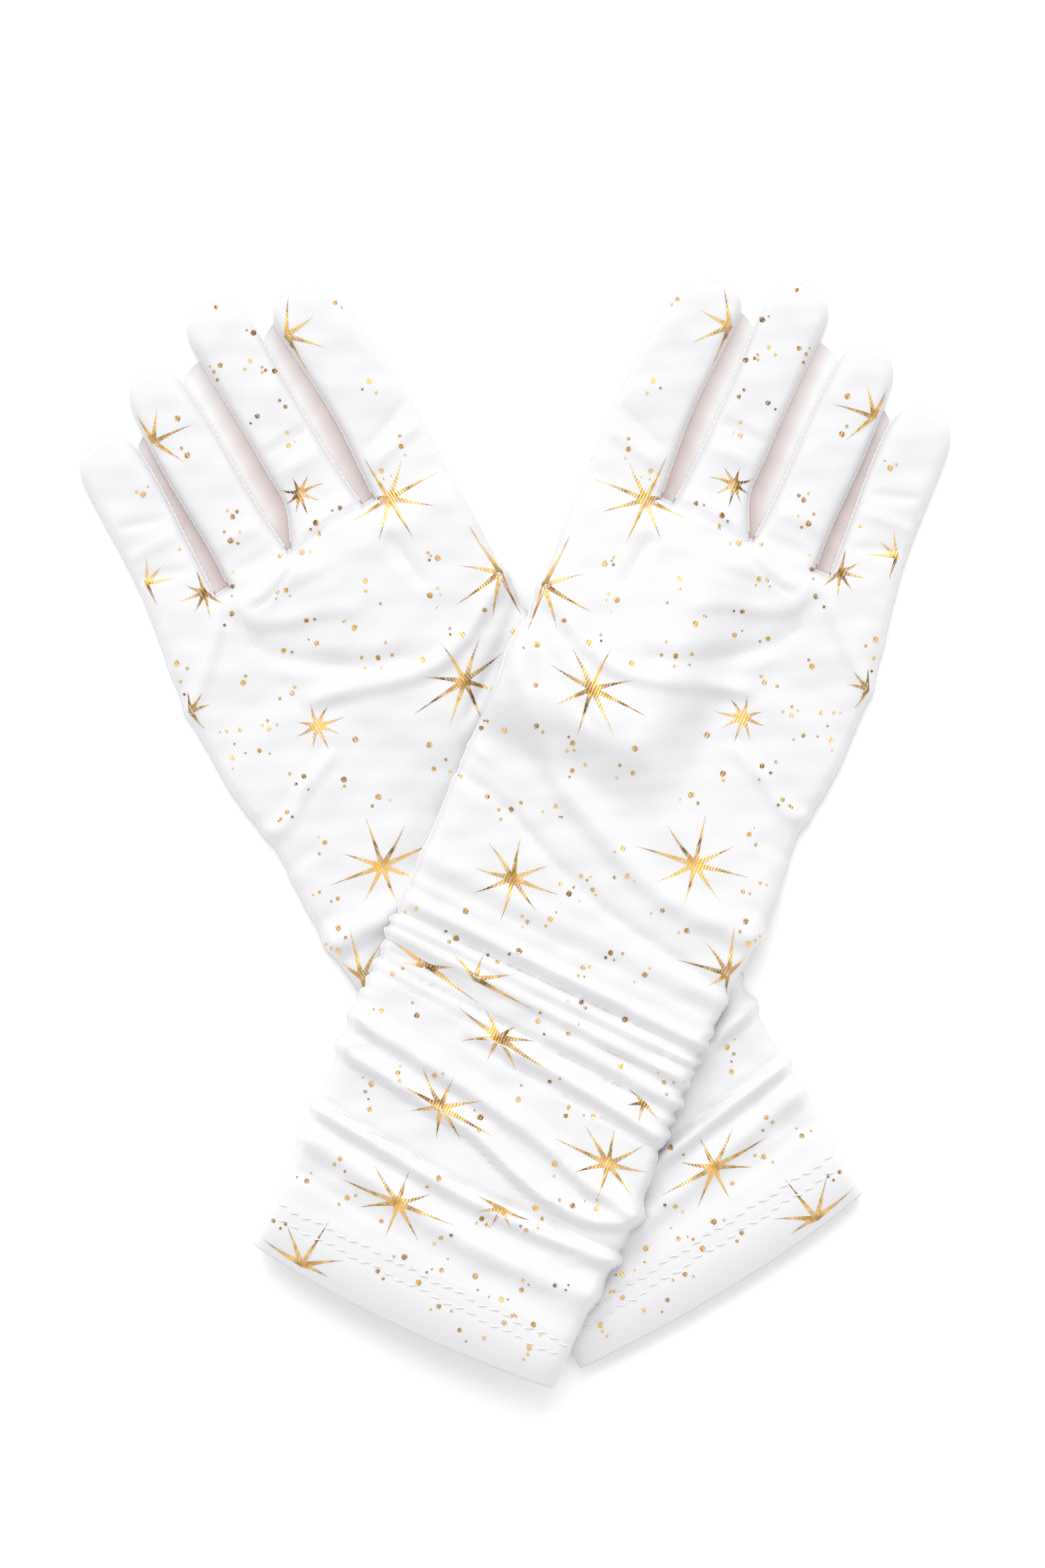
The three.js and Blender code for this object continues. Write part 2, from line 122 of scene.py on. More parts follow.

# ---- How a glove lies ----
SEAM_HEIGHT = 1.15  # of the side seams over what the glove lies on
BODY_RISE = 4.7  # of the back over the side seams
FINGER_RISE = 3.5
RISE_CHANGE = (KNUCKLES - 8, KNUCKLES + 14)  # where the back comes down to the fingers' height
KNUCKLE_FADE = 8
PALM_DROP = 1.0
GAPE = {"left": 0.7, "right": 2.3}  # how much more the cuff stands open
SETTLE = {"left": 14, "right": 34}  # how far along the glove that goes on
HEM_CURL = 0.5
HEM_DEPTH = 12
HEM_STEP = 1.4  # length over which the doubled cloth ends
FOLD_START = 8  # length beyond the hem over which the folds begin
SIDE_ROUND = 5.5  # distance from an edge over which the back rises to its full height
EDGE_ROUND = 2.0  # the cloth turns down sharply this close to an edge
EDGE_SHARE = 0.55  # of the back's height
FRONT_ROUND = 9.0  # length over which the back comes down to the cuff's edge
FRONT_DROP = 2.8
PALM_ROUND = 3.0
FOLD_FADE = 2.4  # distance from an edge over which the folds reach their full height
CROSSING_SLANT = 0.75
CROSSING = (-40, 64, 164, 194)  # where the right glove starts up, is up, starts down and is down
CROSSING_HEIGHT = 7.9
COVERED_CLEARANCE = 0.35
COVERED_FADE = (-5, -1)  # how far inside the right glove's outline the left one is held down
COVERED_REACH = (-2, KNUCKLES + 46)  # the ends of that outline
THUMB_PIVOT = (-32.0, 156.0)
THUMB_ANGLE = math.radians(32)
THUMB_SWING = math.radians(40)
THUMB_SIDE_ROOM = (0.8, 6.0)  # the left glove dips between these distances from the right thumb
FREE_HEIGHT = 40.0  # a height that nothing reaches
THUMB_WIDTH = 14.0
THUMB_LENGTH = 35.0
THUMB_THICKNESS = 1.7
THUMB_ROWS = 41
THUMB_COLUMNS = 15
THUMB_EDGE = 2.2  # distance from its edge over which it gets its thickness
THUMB_FULLNESS = 0.92
THUMB_SQUASH = 0.1
THUMB_CREASE = 0.1
THUMB_SEAM_RADIUS = 0.28
THUMB_ROOM = 0.7  # between a thumb and the palm over it
THUMB_ROOM_ROWS = (128, 144, 187, 195.5)
THUMB_ROOM_EDGE = (-6.5, 9.5)
RIGHT_THUMB_HEIGHT = 8.5
RIGHT_THUMB_FALL = 0.235

# ---- Folds of the cloth: height, width of the side that faces the cuff, width of the side that
# faces the fingertips, and the crest from the thumb's side. A negative height is a crease.
FOLDS = [
    (2.0, 4.6, 5.0, [(-40, 28.5), (-20, 26), (0, 23), (20, 22), (42, 23)]),
    (-0.8, 3.5, 3.5, [(-40, 21), (-20, 18.5), (0, 16), (20, 15.5), (42, 16)]),
    (2.5, 3.0, 2.4, [(-40, 35.5), (-20, 33.5), (0, 31.5), (20, 31), (42, 32.5)]),
    (-1.0, 0.9, 2.0, [(-40, 37), (-10, 34.3), (5, 33), (20, 33.6), (42, 34.4)]),
    (0.6, 2.0, 2.0, [(28, 27), (34, 29.5), (42, 32)]),
    (2.2, 2.8, 5.0, [(-40, 58), (-20, 55.5), (0, 52.5), (15, 49.5), (30, 45), (42, 44)]),
    (2.6, 2.0, 5.0, [(-40, 50), (-20, 47.5), (0, 44.5), (10, 41), (20, 38.5), (30, 38), (42, 42.5)]),
    (1.0, 1.5, 1.8, [(-40, 50.5), (-35, 52.5), (-30, 55)]),
    (0.9, 1.5, 1.8, [(-40, 58.5), (-35, 57), (-30, 55)]),
    (-1.1, 1.0, 2.4, [(-15, 63.5), (10, 62), (42, 59)]),
    (1.6, 1.9, 2.9, [(-12, 66.5), (20, 64.5), (42, 61.5)]),
    (-0.7, 1.1, 1.6, [(-40, 70), (-5, 67), (9, 65.5)]),
    (-1.4, 1.3, 1.9, [(-40, 72.5), (0, 70.3), (42, 68)]),
    (1.0, 1.9, 2.0, [(2, 73.2), (20, 72.3), (42, 71)]),
    (-1.2, 2.4, 2.6, [(-40, 74.8), (-25, 74.4), (-13, 73.4)]),
    (-0.5, 0.8, 1.2, [(-40, 77.5), (-25, 75.8), (-15, 74)]),
    (-0.8, 1.0, 1.4, [(12, 75.4), (42, 74.2)]),
    (1.3, 1.6, 2.5, [(-40, 79), (0, 77.6), (42, 76.2)]),
    (-0.6, 0.8, 1.2, [(25, 80.3), (42, 79.2)]),
    (0.9, 1.5, 1.5, [(-40, 82), (0, 81.3), (42, 80.8)]),
    (-1.5, 1.0, 1.6, [(-40, 84), (0, 83.4), (15, 83.4), (42, 82.5)]),
    (1.4, 1.7, 2.9, [(-40, 87), (0, 86.5), (42, 85.5)]),
    (-0.6, 0.8, 1.2, [(-40, 88), (-33, 86.5), (-31.5, 84.8)]),
    (-0.7, 1.0, 1.6, [(-40, 90.3), (-30, 90), (-19, 89.8)]),
    (-0.6, 2.6, 2.6, [(-40, 93.8), (0, 93.3), (42, 92.6)]),
    (0.6, 3.0, 3.2, [(-40, 98), (0, 97.4), (42, 96.5)]),
    (-1.1, 3.0, 3.0, [(-42, 119.5), (-25, 115.5), (-15, 111), (-5, 107), (5, 104), (20, 101.5),
                      (40, 99)]),
    (0.6, 1.6, 1.6, [(-42, 126.5), (-37, 125), (-31, 122.8)]),
    (1.9, 4.6, 5.4, [(-42, 152), (-33, 142), (-25, 133), (-15, 125.5), (-5, 120.5), (5, 116), (15, 113),
                     (30, 112.5), (41, 113)]),
    (-1.0, 2.8, 2.8, [(-42, 159), (-33, 153), (-25, 147), (-13, 140)]),
    (1.4, 3.0, 3.8, [(-43, 166), (-33, 161.5), (-25, 157.5), (-15, 155.5), (-5, 158), (5, 161.5),
                     (16, 164.5)]),
    (-1.3, 4.4, 4.4, [(-14, 160), (-3, 164), (5, 169), (12, 174.5), (19, 184)]),
    (1.0, 3.0, 4.0, [(-10, 174.5), (0, 180), (8, 182.5), (14, 186), (18, 195)]),
    (-0.6, 3.2, 3.2, [(-10, 186), (0, 187), (9, 187.5)]),
    (1.0, 3.0, 3.2, [(18, 196), (23, 189), (28, 184), (34, 179), (41, 175)]),
    (-0.6, 8.0, 8.0, [(12, 171), (22, 170), (35, 169)]),
    (1.1, 3.2, 3.2, [(12, 151.5), (25, 147), (33, 142.5), (41, 143.5)]),
    (-0.7, 3.6, 3.6, [(26, 134), (33, 133.5), (41, 133.5)]),
    (-0.6, 2.6, 2.6, [(31, 118.8), (41, 118.5)]),
    (-1.3, 3.6, 3.6, [(-24, 171), (-23, 179), (-22, 189)]),
    (1.6, 15.0, 2.4, [(-28, 197.4), (-15, 199), (-6, 198), (0, 195.4), (4, 193), (10, 191.3),
                      (17, 192.4)]),
    (-0.9, 1.6, 1.4, [(-25, 195), (-15, 196.4), (-6, 195.4), (1, 192.8)]),
    (-0.9, 1.4, 1.2, [(-1, 193.4), (4, 190.4), (10, 188.8), (16, 189.6)]),
    (-0.4, 0.8, 1.0, [(13.5, 195), (15, 194), (18, 195.3)]),
    (0.7, 2.2, 2.2, [(-43, 205.5), (-34, 203.8), (-25, 201.6)]),
    (-0.8, 1.9, 1.9, [(-41, 211), (-34, 208.5), (-26, 205.4)]),
    (0.7, 2.6, 2.4, [(-22, 212), (-14, 212), (-5, 211.6)]),
    (-0.9, 2.0, 2.0, [(-22, 217.6), (-14, 217.8), (-5, 217.2)]),
    (0.7, 3.0, 3.0, [(-1, 204.5), (7, 204.8), (16, 204.5)]),
    (-0.7, 2.6, 2.6, [(-1, 198.2), (7, 198), (16, 198)]),
    (-0.7, 2.0, 2.0, [(18, 216.4), (25, 219), (32, 221.8)]),
    (-0.7, 2.0, 2.0, [(19, 203.2), (26, 206), (34, 208.8)]),
    (0.5, 2.2, 2.2, [(18, 212), (25, 213), (33, 213.6)]),
]
FOLD_END = 5.0  # a fold that ends on the glove fades out over this length
SIDE_STRIP = 33.0  # a fold that ends this far out runs off the edge instead
EDGE_BULGE = 0.5  # how far a fold pushes the side edge out for its height
SCALLOP = 0.4  # gathers down the side edges
SCALLOP_PITCH = 3.6
GATHERS = (54, 64, 86, 98)  # where the gathers start, are full, start to end and end
RIPPLES = [  # soft unevenness: height, wave vector across and along, phase
    (0.16, 0.31, 0.22, 0.4), (0.13, -0.19, 0.37, 2.1), (0.09, 0.52, -0.29, 1.2),
    (0.08, 0.11, 0.71, 4.0), (0.05, 0.93, 0.48, 0.9), (0.05, -0.57, 1.02, 3.3),
]

# ---- Side gussets: a strip down the outer side of each finger but the little one, a sheet that carries painted shade in the gap between the fingers ----
GUSSET_START = 0.15  # beyond the crotch
GUSSET_END = 4.5  # before the shorter fingertip
GUSSET_TUCK = 0.7  # under its own finger's edge
GUSSET_CLEARANCE = 0.28  # from the next finger
GUSSET_DROP = 0.75  # below the finger's seam
GUSSET_LIFT = 0.25  # of its free edge
GUSSET_RIPPLE = 0.08
GUSSET_ROUND = 3.0  # of its end
GUSSET_LEAST = 0.5  # its width where the gap is narrow
GUSSET_WIDE = 5.5  # its widest
GUSSET_SHADE_FADE = (212, 250)  # the painted gap shade pales between these places along the glove
GUSSET_ROWS = 44
GUSSET_COLUMNS = 5

# ---- Hem stitching ----
STITCH_ROWS = [(8.2, 7.3), (11.4, 10.4)]  # each row's v at the thumb side and the little side
STITCH_SLANT = (-40, 40)  # u between which a row runs from the one v to the other
STITCH_PITCH = 3.0
STITCH_LENGTH = 2.75
STITCH_RADIUS = 0.17
STITCH_SHAPE = np.array([0.45, 0.8, 1, 1, 1, 0.8, 0.45])  # its radius from end to end
STITCH_LIFT = 0.2  # of its middle over the cloth
STITCH_DIP = 0.42  # of its ends from there
STITCH_ENDS = (-35.6, 39.2)  # u of a row's first stitch, and what the last one stays below
STITCH_WAVE = 0.5
STITCH_GROOVE = 0.24
STITCH_GROOVE_WIDTH = 0.75
STITCH_PUCKER = 0.25  # how much of the groove comes and goes with the stitches
HEM_PLY = 0.35  # the doubled cloth stands this much higher
LIP_RADIUS = 0.5
LIP_TURN = (0, 35, 70, 105, 140, 180)  # degrees

# ---- Seams ----
SEAM_OUT = 0.08  # the seam cords stand this far out of the cloth's edge
SEAM_STEP = 0.45
SEAM_SWELL = 0.22  # how much a seam swells at each of its own stitches
SEAM_PITCH = 1.5

# ---- Foil print: each starburst as its middle and the ends of its rays ----
STARS = [
    [(-27, 194), (-27, 205), (-27, 183), (-40, 193.3), (-17, 194), (-34, 200), (-35, 187), (-20, 187),
     (-22, 198)],
    [(-40, 166), (-39.4, 179), (-33, 172), (-27, 165), (-33, 158), (-39, 155)],
    [(-20, 149), (-19.7, 160), (-12, 155), (-6, 148.5), (-11, 141.5), (-18.5, 138), (-26, 142), (-31, 150),
     (-28, 155.5)],
    [(14.5, 158), (13, 163), (18, 161), (20, 158.3), (18, 154), (15, 152), (11, 153.5), (8, 156.5),
     (10, 160.5)],
    [(18.5, 122.5), (16, 134), (25, 130), (31, 125), (27, 117.5), (20, 113), (12, 115), (4, 120.5),
     (9, 128)],
    [(-18, 102), (-20.5, 112), (-12, 108), (-7, 103), (-10, 97.5), (-16.5, 92), (-25, 95), (-27, 100.5),
     (-26.5, 107)],
    [(36, 103), (32.5, 114), (38.2, 108.5), (37.8, 98.5), (33, 98.6), (24, 101), (28, 107.5)],
    [(-16, 77.5), (-16.7, 83), (-23.5, 80.5), (-8, 82.5), (-1, 76.7)],
    [(-27, 75.5), (-38.2, 77.5), (-13, 72.7), (-21.5, 77.8), (-33, 73.6)],
    [(-5.5, 67.5), (-17, 70), (9, 65.5), (-3, 71.5), (-11, 72), (2.5, 70.3), (-5.7, 61.5), (-13, 63.2),
     (1, 62.5)],
    [(31, 68), (27.5, 65.8), (31.8, 63.2), (35.4, 66), (26.5, 69.5)],
    [(29.5, 51.8), (16, 52), (38.8, 54), (27.5, 59.5), (35, 59), (21, 57.5), (23, 46.8), (30.5, 43.8),
     (37.5, 47.5)],
    [(-11, 47.5), (-11, 55), (-18.5, 54), (-3, 52.7), (-20.5, 48.2), (3, 46.5), (-17, 43.6), (-8.7, 40.5),
     (-3.5, 42.5)],
    [(11.5, 32.3), (7, 29.3), (11.3, 27.6), (15.4, 29.2), (18.5, 32.6), (5.5, 32.6)],
    [(-10.5, 23.5), (-25, 23), (3.5, 24.3), (-11.2, 31), (-19, 29), (-4.5, 28.4), (-18, 18.8), (-9.8, 15),
     (-2.5, 17.5)],
    [(-24.5, 1), (-23, 13), (-31.5, 8), (-16, 6.2), (-36, 2.6), (-17.5, 1)],
    [(-26.4, 238.5), (-31.5, 246), (-34, 239), (-32.5, 231.5), (-26.3, 229)],
    [(12.6, 233.5), (8, 239.5), (3, 232.3), (9, 226), (12.6, 241)],
    [(-10, 206), (-10.5, 209.8), (-6.6, 209), (-6.2, 205.4), (-7, 202.6), (-9, 200.4), (-13, 202),
     (-16, 204.9), (-14, 208.5)],
    [(20.6, 197.8), (19.6, 203.2), (23.4, 201.5), (26.7, 199), (25, 195.1), (22.7, 191.8), (18, 192.6)],
    [(37.7, 176), (35.7, 180.4), (33.2, 178.2), (32.8, 174.9), (36.8, 170.6)],
    [(31, 206.7), (28, 211.5), (24, 204), (31.6, 201), (26, 208)],
]
RAY_HALF_WIDTH = 0.57
RAY_TAPER = 1.25  # over 1 the rays are hollow-ground
RAY_STEP = 0.7
RAY_BEND = 0.25  # how far a ray may stray from a straight line
RAY_UNEVENNESS = 0.06
RAY_POINT = 0.02  # width that is left at a ray's end
LONG_RAYS = 9.0  # starbursts with rays shorter than this are finer
NOTCH_REACH = 0.42  # the notch between two rays lies within this share of their mean length
DOTS = [
    (-5.7, 164, 0.6), (-2.5, 166, 0.4), (-9, 166, 0.35), (-8.8, 162.8, 0.4), (-2, 163.5, 0.3),
    (-5, 161.7, 0.35), (12, 176.8, 0.6), (10.6, 175.5, 0.35), (-4.1, 109.1, 0.5), (-2.4, 108.8, 0.35),
    (-2, 109.9, 0.3), (-0.3, 107.4, 0.55), (0.8, 106.6, 0.3), (-12.5, 180.5, 0.6), (-11.3, 178.5, 0.4),
    (-12.7, 174.3, 0.35), (30.2, 166.5, 0.6), (33, 167.8, 0.4), (34.4, 168.4, 0.3), (28.8, 160, 0.5),
    (27.2, 158.2, 0.3), (-3.3, 135.5, 0.55), (-6.8, 135.8, 0.4), (-6.2, 133, 0.35), (31.2, 121.5, 0.5),
    (32.8, 121.7, 0.3), (34, 125, 0.4), (35.6, 125.2, 0.3), (-16, 252.6, 0.5),
]
DOT_CLUSTERS = 135
DOT_SPACING = 4.9
DOT_CLEARANCE = 1.6  # from the nearest ray
DOT_SIDES = 8
DOT_TRIES = 6000
DOT_AREA = ((-41, 39), (2, 252))  # in u and v
DOT_RADII = (0.5, 0.74)
SATELLITES = (0, 1, 1, 2, 2, 3)  # how many small dots may stand round a dot
SATELLITE_RADII = (0.24, 0.44)
SATELLITE_REACH = (1.5, 3.4)
PRINT_LIFT = 0.07
PRINT_SLOPE = 0.22  # the print stays off cloth whose normal points up less than this
PRINT_SPLIT = KNUCKLES + 0.8  # beyond it a print belongs to a finger

# ---- Cloth and thread ----
RIB_NOISE = 900.0
RIB_WANDER = 0.12 * MM  # how far a rib strays from a straight line
LOOP_PITCH = 0.62  # of the rib pitch
SHEEN = dict(Sheen_Weight=0.25, Sheen_Roughness=0.45)
THREAD_TWIST = 0.42 * MM

# ---- Stage ----
FLOOR_REACH = 3.0  # metres from the middle of the floor to its sides
FLOOR_GAP = 0.1 * MM  # below the gloves
FLOOR_GLOW = 0.1  # the light table's own light
SKY_STRENGTH = 0.86
WINDOW = dict(place=(-0.12, 1.0, 0.95), strength=1.6, spread=50)
CAMERA_OVER = (0.00165, 0.0098)


# ------------------------------------------------------------------ settings

class GloveSizes(bpy.types.PropertyGroup):
    """Sizes that a maker would change"""
    fold_depth: bpy.props.FloatProperty(
        name="Fold Depth", description="Strength of the folds in the cloth", default=1.0, min=0, max=2)
    rib_pitch: bpy.props.FloatProperty(
        name="Rib Pitch", description="Distance between the ribs of the knit", default=0.68 * MM,
        unit="LENGTH", subtype="DISTANCE", precision=5)
    seam_radius: bpy.props.FloatProperty(
        name="Seam Radius", description="Radius of the overlocked seam down a glove's edge",
        default=0.19 * MM, unit="LENGTH", subtype="DISTANCE", precision=5)
    view_height: bpy.props.FloatProperty(
        name="View Height", description="Length of the floor that the camera sees", default=0.3628,
        unit="LENGTH", subtype="DISTANCE")
    camera_distance: bpy.props.FloatProperty(
        name="Camera Distance", description="Height of the camera over the gloves", default=1.6,
        unit="LENGTH", subtype="DISTANCE")


def colour(name, description, value):
    """A colour setting."""
    return bpy.props.FloatVectorProperty(
        name=name, description=description, default=(*value, 1.0), size=4, min=0, max=1, subtype="COLOR")


class GloveColours(bpy.types.PropertyGroup):
    """Colours of cloth, foil, thread and floor"""
    satin: colour("Satin", "Crown of the satin knit's ribs", (0.83, 0.825, 0.835))
    # Painted shade: the grooves between the knit's ribs are coloured darker than the crowns.
    satin_groove_shade: colour("Satin Groove", "Grooves between the ribs", (0.72, 0.715, 0.735))
    satin_inside: colour("Satin Inside", "Matt back of the cloth", (0.62, 0.61, 0.63))
    foil: colour("Foil", "Bright foil", (1.0, 0.6, 0.16))
    # Painted reflection and shade: dark bronze foil where it would mirror a dark room, and in the grooves
    # between the ribs.
    foil_dark_reflection: colour("Foil Dark", "Foil that has sunk between the ribs", (0.2, 0.09, 0.02))
    thread: colour("Thread", "Sewing thread", (0.93, 0.925, 0.93))
    # Painted shade: the rosy colour of the strips between the fingers stands in for the shade in those gaps.
    gap_shade: colour("Gap Shade", "Rosy lining of the gussets between the fingers", (0.6, 0.475, 0.45))
    elastic: colour("Elastic", "Elastic tape in the gathers", (0.86, 0.83, 0.78))
    floor: colour("Floor", "Pale floor", (0.97, 0.97, 0.97))


def sizes():
    """The sizes set in the panel."""
    return bpy.context.scene.glove_sizes


def colours():
    """The colours set in the panel."""
    return bpy.context.scene.glove_colours


# ------------------------------------------------------------------ small geometry tools

def smooth(low, high, value):
    """0 below low, 1 above high, and an even turn between them."""
    share = np.clip((value - low) / (high - low), 0, 1)
    return share * share * (3 - 2 * share)


def curve_through(points):
    """A smooth function through (place, value) points."""
    places, values = np.array(points, float).T
    slopes = np.gradient(values, places)

    def at(place):
        place = np.clip(place, places[0], places[-1])
        k = np.clip(np.searchsorted(places, place, side="right") - 1, 0, len(places) - 2)
        width = places[k + 1] - places[k]
        t = (place - places[k]) / width
        return ((1 + 2 * t) * (1 - t) ** 2 * values[k] + t * (1 - t) ** 2 * width * slopes[k]
                + t * t * (3 - 2 * t) * values[k + 1] - t * t * (1 - t) * width * slopes[k + 1])
    return at


def resample(points, step):
    """Points at even steps along a smooth curve through the points, and their distances along it."""
    points = np.array(points, float)
    along = np.concatenate([[0], np.cumsum(np.linalg.norm(np.diff(points, axis=0), axis=1))])
    count = max(4, int(along[-1] / step))
    places = np.linspace(0, along[-1], count + 1)
    axes = [curve_through(list(zip(along, points[:, k])))(places) for k in range(points.shape[1])]
    return np.stack(axes, axis=1), places


def nearest(points, samples):
    """Distance from each point to the nearest sample, and which sample that is."""
    distances, picks = [], []
    for part in np.array_split(points, max(1, len(points) * len(samples) // 4_000_000 + 1)):
        gaps = ((part[:, None, :] - samples[None, :, :]) ** 2).sum(axis=2)
        pick = gaps.argmin(axis=1)
        picks.append(pick)
        distances.append(np.sqrt(gaps[np.arange(len(part)), pick]))
    return np.concatenate(distances), np.concatenate(picks)


def round_edge(distance, radius):
    """Rises from 0 at an edge to 1 at the radius, as a quarter circle does."""
    short = 1 - np.clip(distance / radius, 0, 1)
    return np.sqrt(1 - short * short)


@lru_cache(None)
def axes_of(side):
    """A glove's origin, in millimetres, and its directions across and along, from one of its hinges."""
    hinge = JOINTS[f"{side}_index_fold"]
    axis = np.array(hinge["axis"][:2], float)
    axis /= np.linalg.norm(axis)
    along = np.array([-axis[1], axis[0]])
    across = axis if side == "right" else -axis
    origin = np.array(hinge["pos_m"][:2]) / MM - INDEX_HINGE[0] * across - INDEX_HINGE[1] * along
    return origin, across, along


def to_frame(side, points):
    """Points of a glove's frame, in millimetres, as points of the shared frame, in metres."""
    origin, across, along = axes_of(side)
    points = np.asarray(points, float)
    flat = origin + points[:, :1] * across + points[:, 1:2] * along
    return np.hstack([flat, points[:, 2:3]]) * MM


def to_glove(side, points):
    """u and v of points of the shared frame, in metres."""
    origin, across, along = axes_of(side)
    flat = np.asarray(points)[:, :2] / MM - origin
    return flat @ across, flat @ along


def quads(grid):
    """The four-sided faces between the rows and columns of a grid of points."""
    return np.stack([grid[:-1, :-1], grid[:-1, 1:], grid[1:, 1:], grid[1:, :-1]], axis=2)


def turned_over(faces):
    """Four-sided faces wound the other way, from the same first corner."""
    return faces[..., [0, 3, 2, 1]].reshape(-1, 4)


def ring_faces(rings, sides, closed=False):
    """Faces between rings of points that are wound round a path; closed joins the last to the first."""
    grid = np.arange(rings * sides).reshape(rings, sides)
    grid = np.hstack([grid, grid[:, :1]])
    if closed:
        grid = np.vstack([grid, grid[:1]])
    return turned_over(quads(grid)).tolist()


def make_piece(name, side, points, faces, material, coordinates=None, normals=None):
    """A smooth mesh from points of a glove's frame. Its UV map holds u and v in metres."""
    points = np.asarray(points, float)
    if side == "left":
        faces = [tuple(reversed(face)) for face in faces]
    mesh = bpy.data.meshes.new(name)
    mesh.from_pydata(to_frame(side, points).tolist(), [], [tuple(map(int, face)) for face in faces])
    if coordinates is None:
        coordinates = points[:, :2]
    corners = np.empty(len(mesh.loops), int)
    mesh.loops.foreach_get("vertex_index", corners)
    mesh.uv_layers.new(name="UVMap").data.foreach_set(
        "uv", (np.asarray(coordinates, float)[corners] * MM).astype(np.float32).ravel())
    mesh.shade_smooth()
    if normals is not None:
        mesh.normals_split_custom_set_from_vertices(normals.tolist())
    mesh.materials.append(material)
    mesh.update()
    piece = bpy.data.objects.new(name, mesh)
    bpy.context.scene.collection.objects.link(piece)
    return piece


def tube(path, radii, sides=6, closed=False):
    """Points and faces of a cord of round section along a path, closed at both ends."""
    path = np.asarray(path, float)
    count = len(path)
    if closed:
        along = np.roll(path, -1, axis=0) - np.roll(path, 1, axis=0)
    else:
        along = np.gradient(path, axis=0)
    along /= np.linalg.norm(along, axis=1)[:, None]
    up = np.array([0, 0, 1.0])
    across = np.cross(along, up)
    across /= np.maximum(np.linalg.norm(across, axis=1), 1e-6)[:, None]
    over = np.cross(across, along)
    turn = np.arange(sides) / sides * 2 * math.pi
    ring = np.cos(turn)[None, :, None] * across[:, None, :] + np.sin(turn)[None, :, None] * over[:, None, :]
    points = path[:, None, :] + ring * np.broadcast_to(radii, count)[:, None, None]
    faces = ring_faces(count, sides, closed)
    if not closed:
        faces.append(tuple(range(sides)))
        faces.append(tuple((count - 1) * sides + i for i in range(sides - 1, -1, -1)))
    return points.reshape(-1, 3), faces


def join(parts):
    """One list of points and one of faces from several."""
    points, faces, start = [], [], 0
    for part_points, part_faces in parts:
        points.append(part_points)
        faces += [tuple(start + i for i in face) for face in part_faces]
        start += len(part_points)
    return np.concatenate(points), faces


# ------------------------------------------------------------------ the glove's pattern

def scallops(v):
    """How far the gathers pull the side edges in and out."""
    window = smooth(GATHERS[0], GATHERS[1], v) * (1 - smooth(GATHERS[2], GATHERS[3], v))
    return SCALLOP * window * np.sin(2 * math.pi * v / SCALLOP_PITCH + 0.9 * np.sin(v * 0.31))


@lru_cache(None)
def edge_bulges():
    """How far the folds push each side edge out, as (v, distance) for both sides."""
    v = np.arange(0, KNUCKLES + 0.5, 0.5)
    free = smooth(HEM_DEPTH, HEM_DEPTH + 6, v) * (1 - smooth(KNUCKLES - KNUCKLE_FADE, KNUCKLES, v))
    return v, [EDGE_BULGE * free * fold_heights(curve_through(side)(v), v)
               for side in (THUMB_SIDE, LITTLE_SIDE)]


def body_edges(v):
    """u of the hand and forearm's two edges."""
    places, (thumb_side, little_side) = edge_bulges()
    pull = scallops(v)
    return (curve_through(THUMB_SIDE)(v) + pull - np.interp(v, places, thumb_side),
            curve_through(LITTLE_SIDE)(v) - pull + np.interp(v, places, little_side))


def finger_edges(name, v):
    """u of a finger's two edges, which close round its tip."""
    cut = FINGER_CUT[name]
    inner, outer = curve_through(cut["inner"])(v), curve_through(cut["outer"])(v)
    short = 1 - np.clip((cut["tip"] - v) / TIP_RADIUS, 0, 1)
    closing = (1 - short ** TIP_BLUNTNESS) ** (1 / TIP_BLUNTNESS)
    middle, half = (inner + outer) / 2, (outer - inner) / 2 * closing
    return middle - half, middle + half


def finger_rows(name, count):
    """v of each row of a finger, closer together towards its tip."""
    share = np.arange(1, count + 1) / count
    eased = (1 - TIP_CROWDING) * share + TIP_CROWDING * np.sin(share * math.pi / 2)
    return KNUCKLES + (FINGER_CUT[name]["tip"] - TIP_FLAT - KNUCKLES) * eased


def spread(count):
    """Even shares from 0 to 1, drawn towards both ends."""
    share = np.arange(count + 1) / count
    return share + EDGE_CLUSTER * (0.5 - 0.5 * np.cos(share * math.pi) - share)


def outline():
    """Points all along the glove's edge, but not across its open cuff."""
    step = 0.25
    v = np.arange(-3, KNUCKLES, step)
    edges = [np.stack([edge, v], axis=1) for edge in body_edges(v)]
    for name in FINGERS:
        v = finger_rows(name, 240)
        edges += [np.stack([edge, v], axis=1) for edge in finger_edges(name, v)]
        low, high = finger_edges(name, v[-1])
        across = np.linspace(low, high, 12)
        edges.append(np.stack([across, np.full(12, v[-1])], axis=1))
    for name, other in zip(FINGERS, FINGERS[1:]):
        low, high = finger_edges(name, KNUCKLES)[1], finger_edges(other, KNUCKLES)[0]
        across = np.linspace(low, high, 14)
        edges.append(np.stack([across, np.full(14, KNUCKLES)], axis=1))
    return np.concatenate(edges)


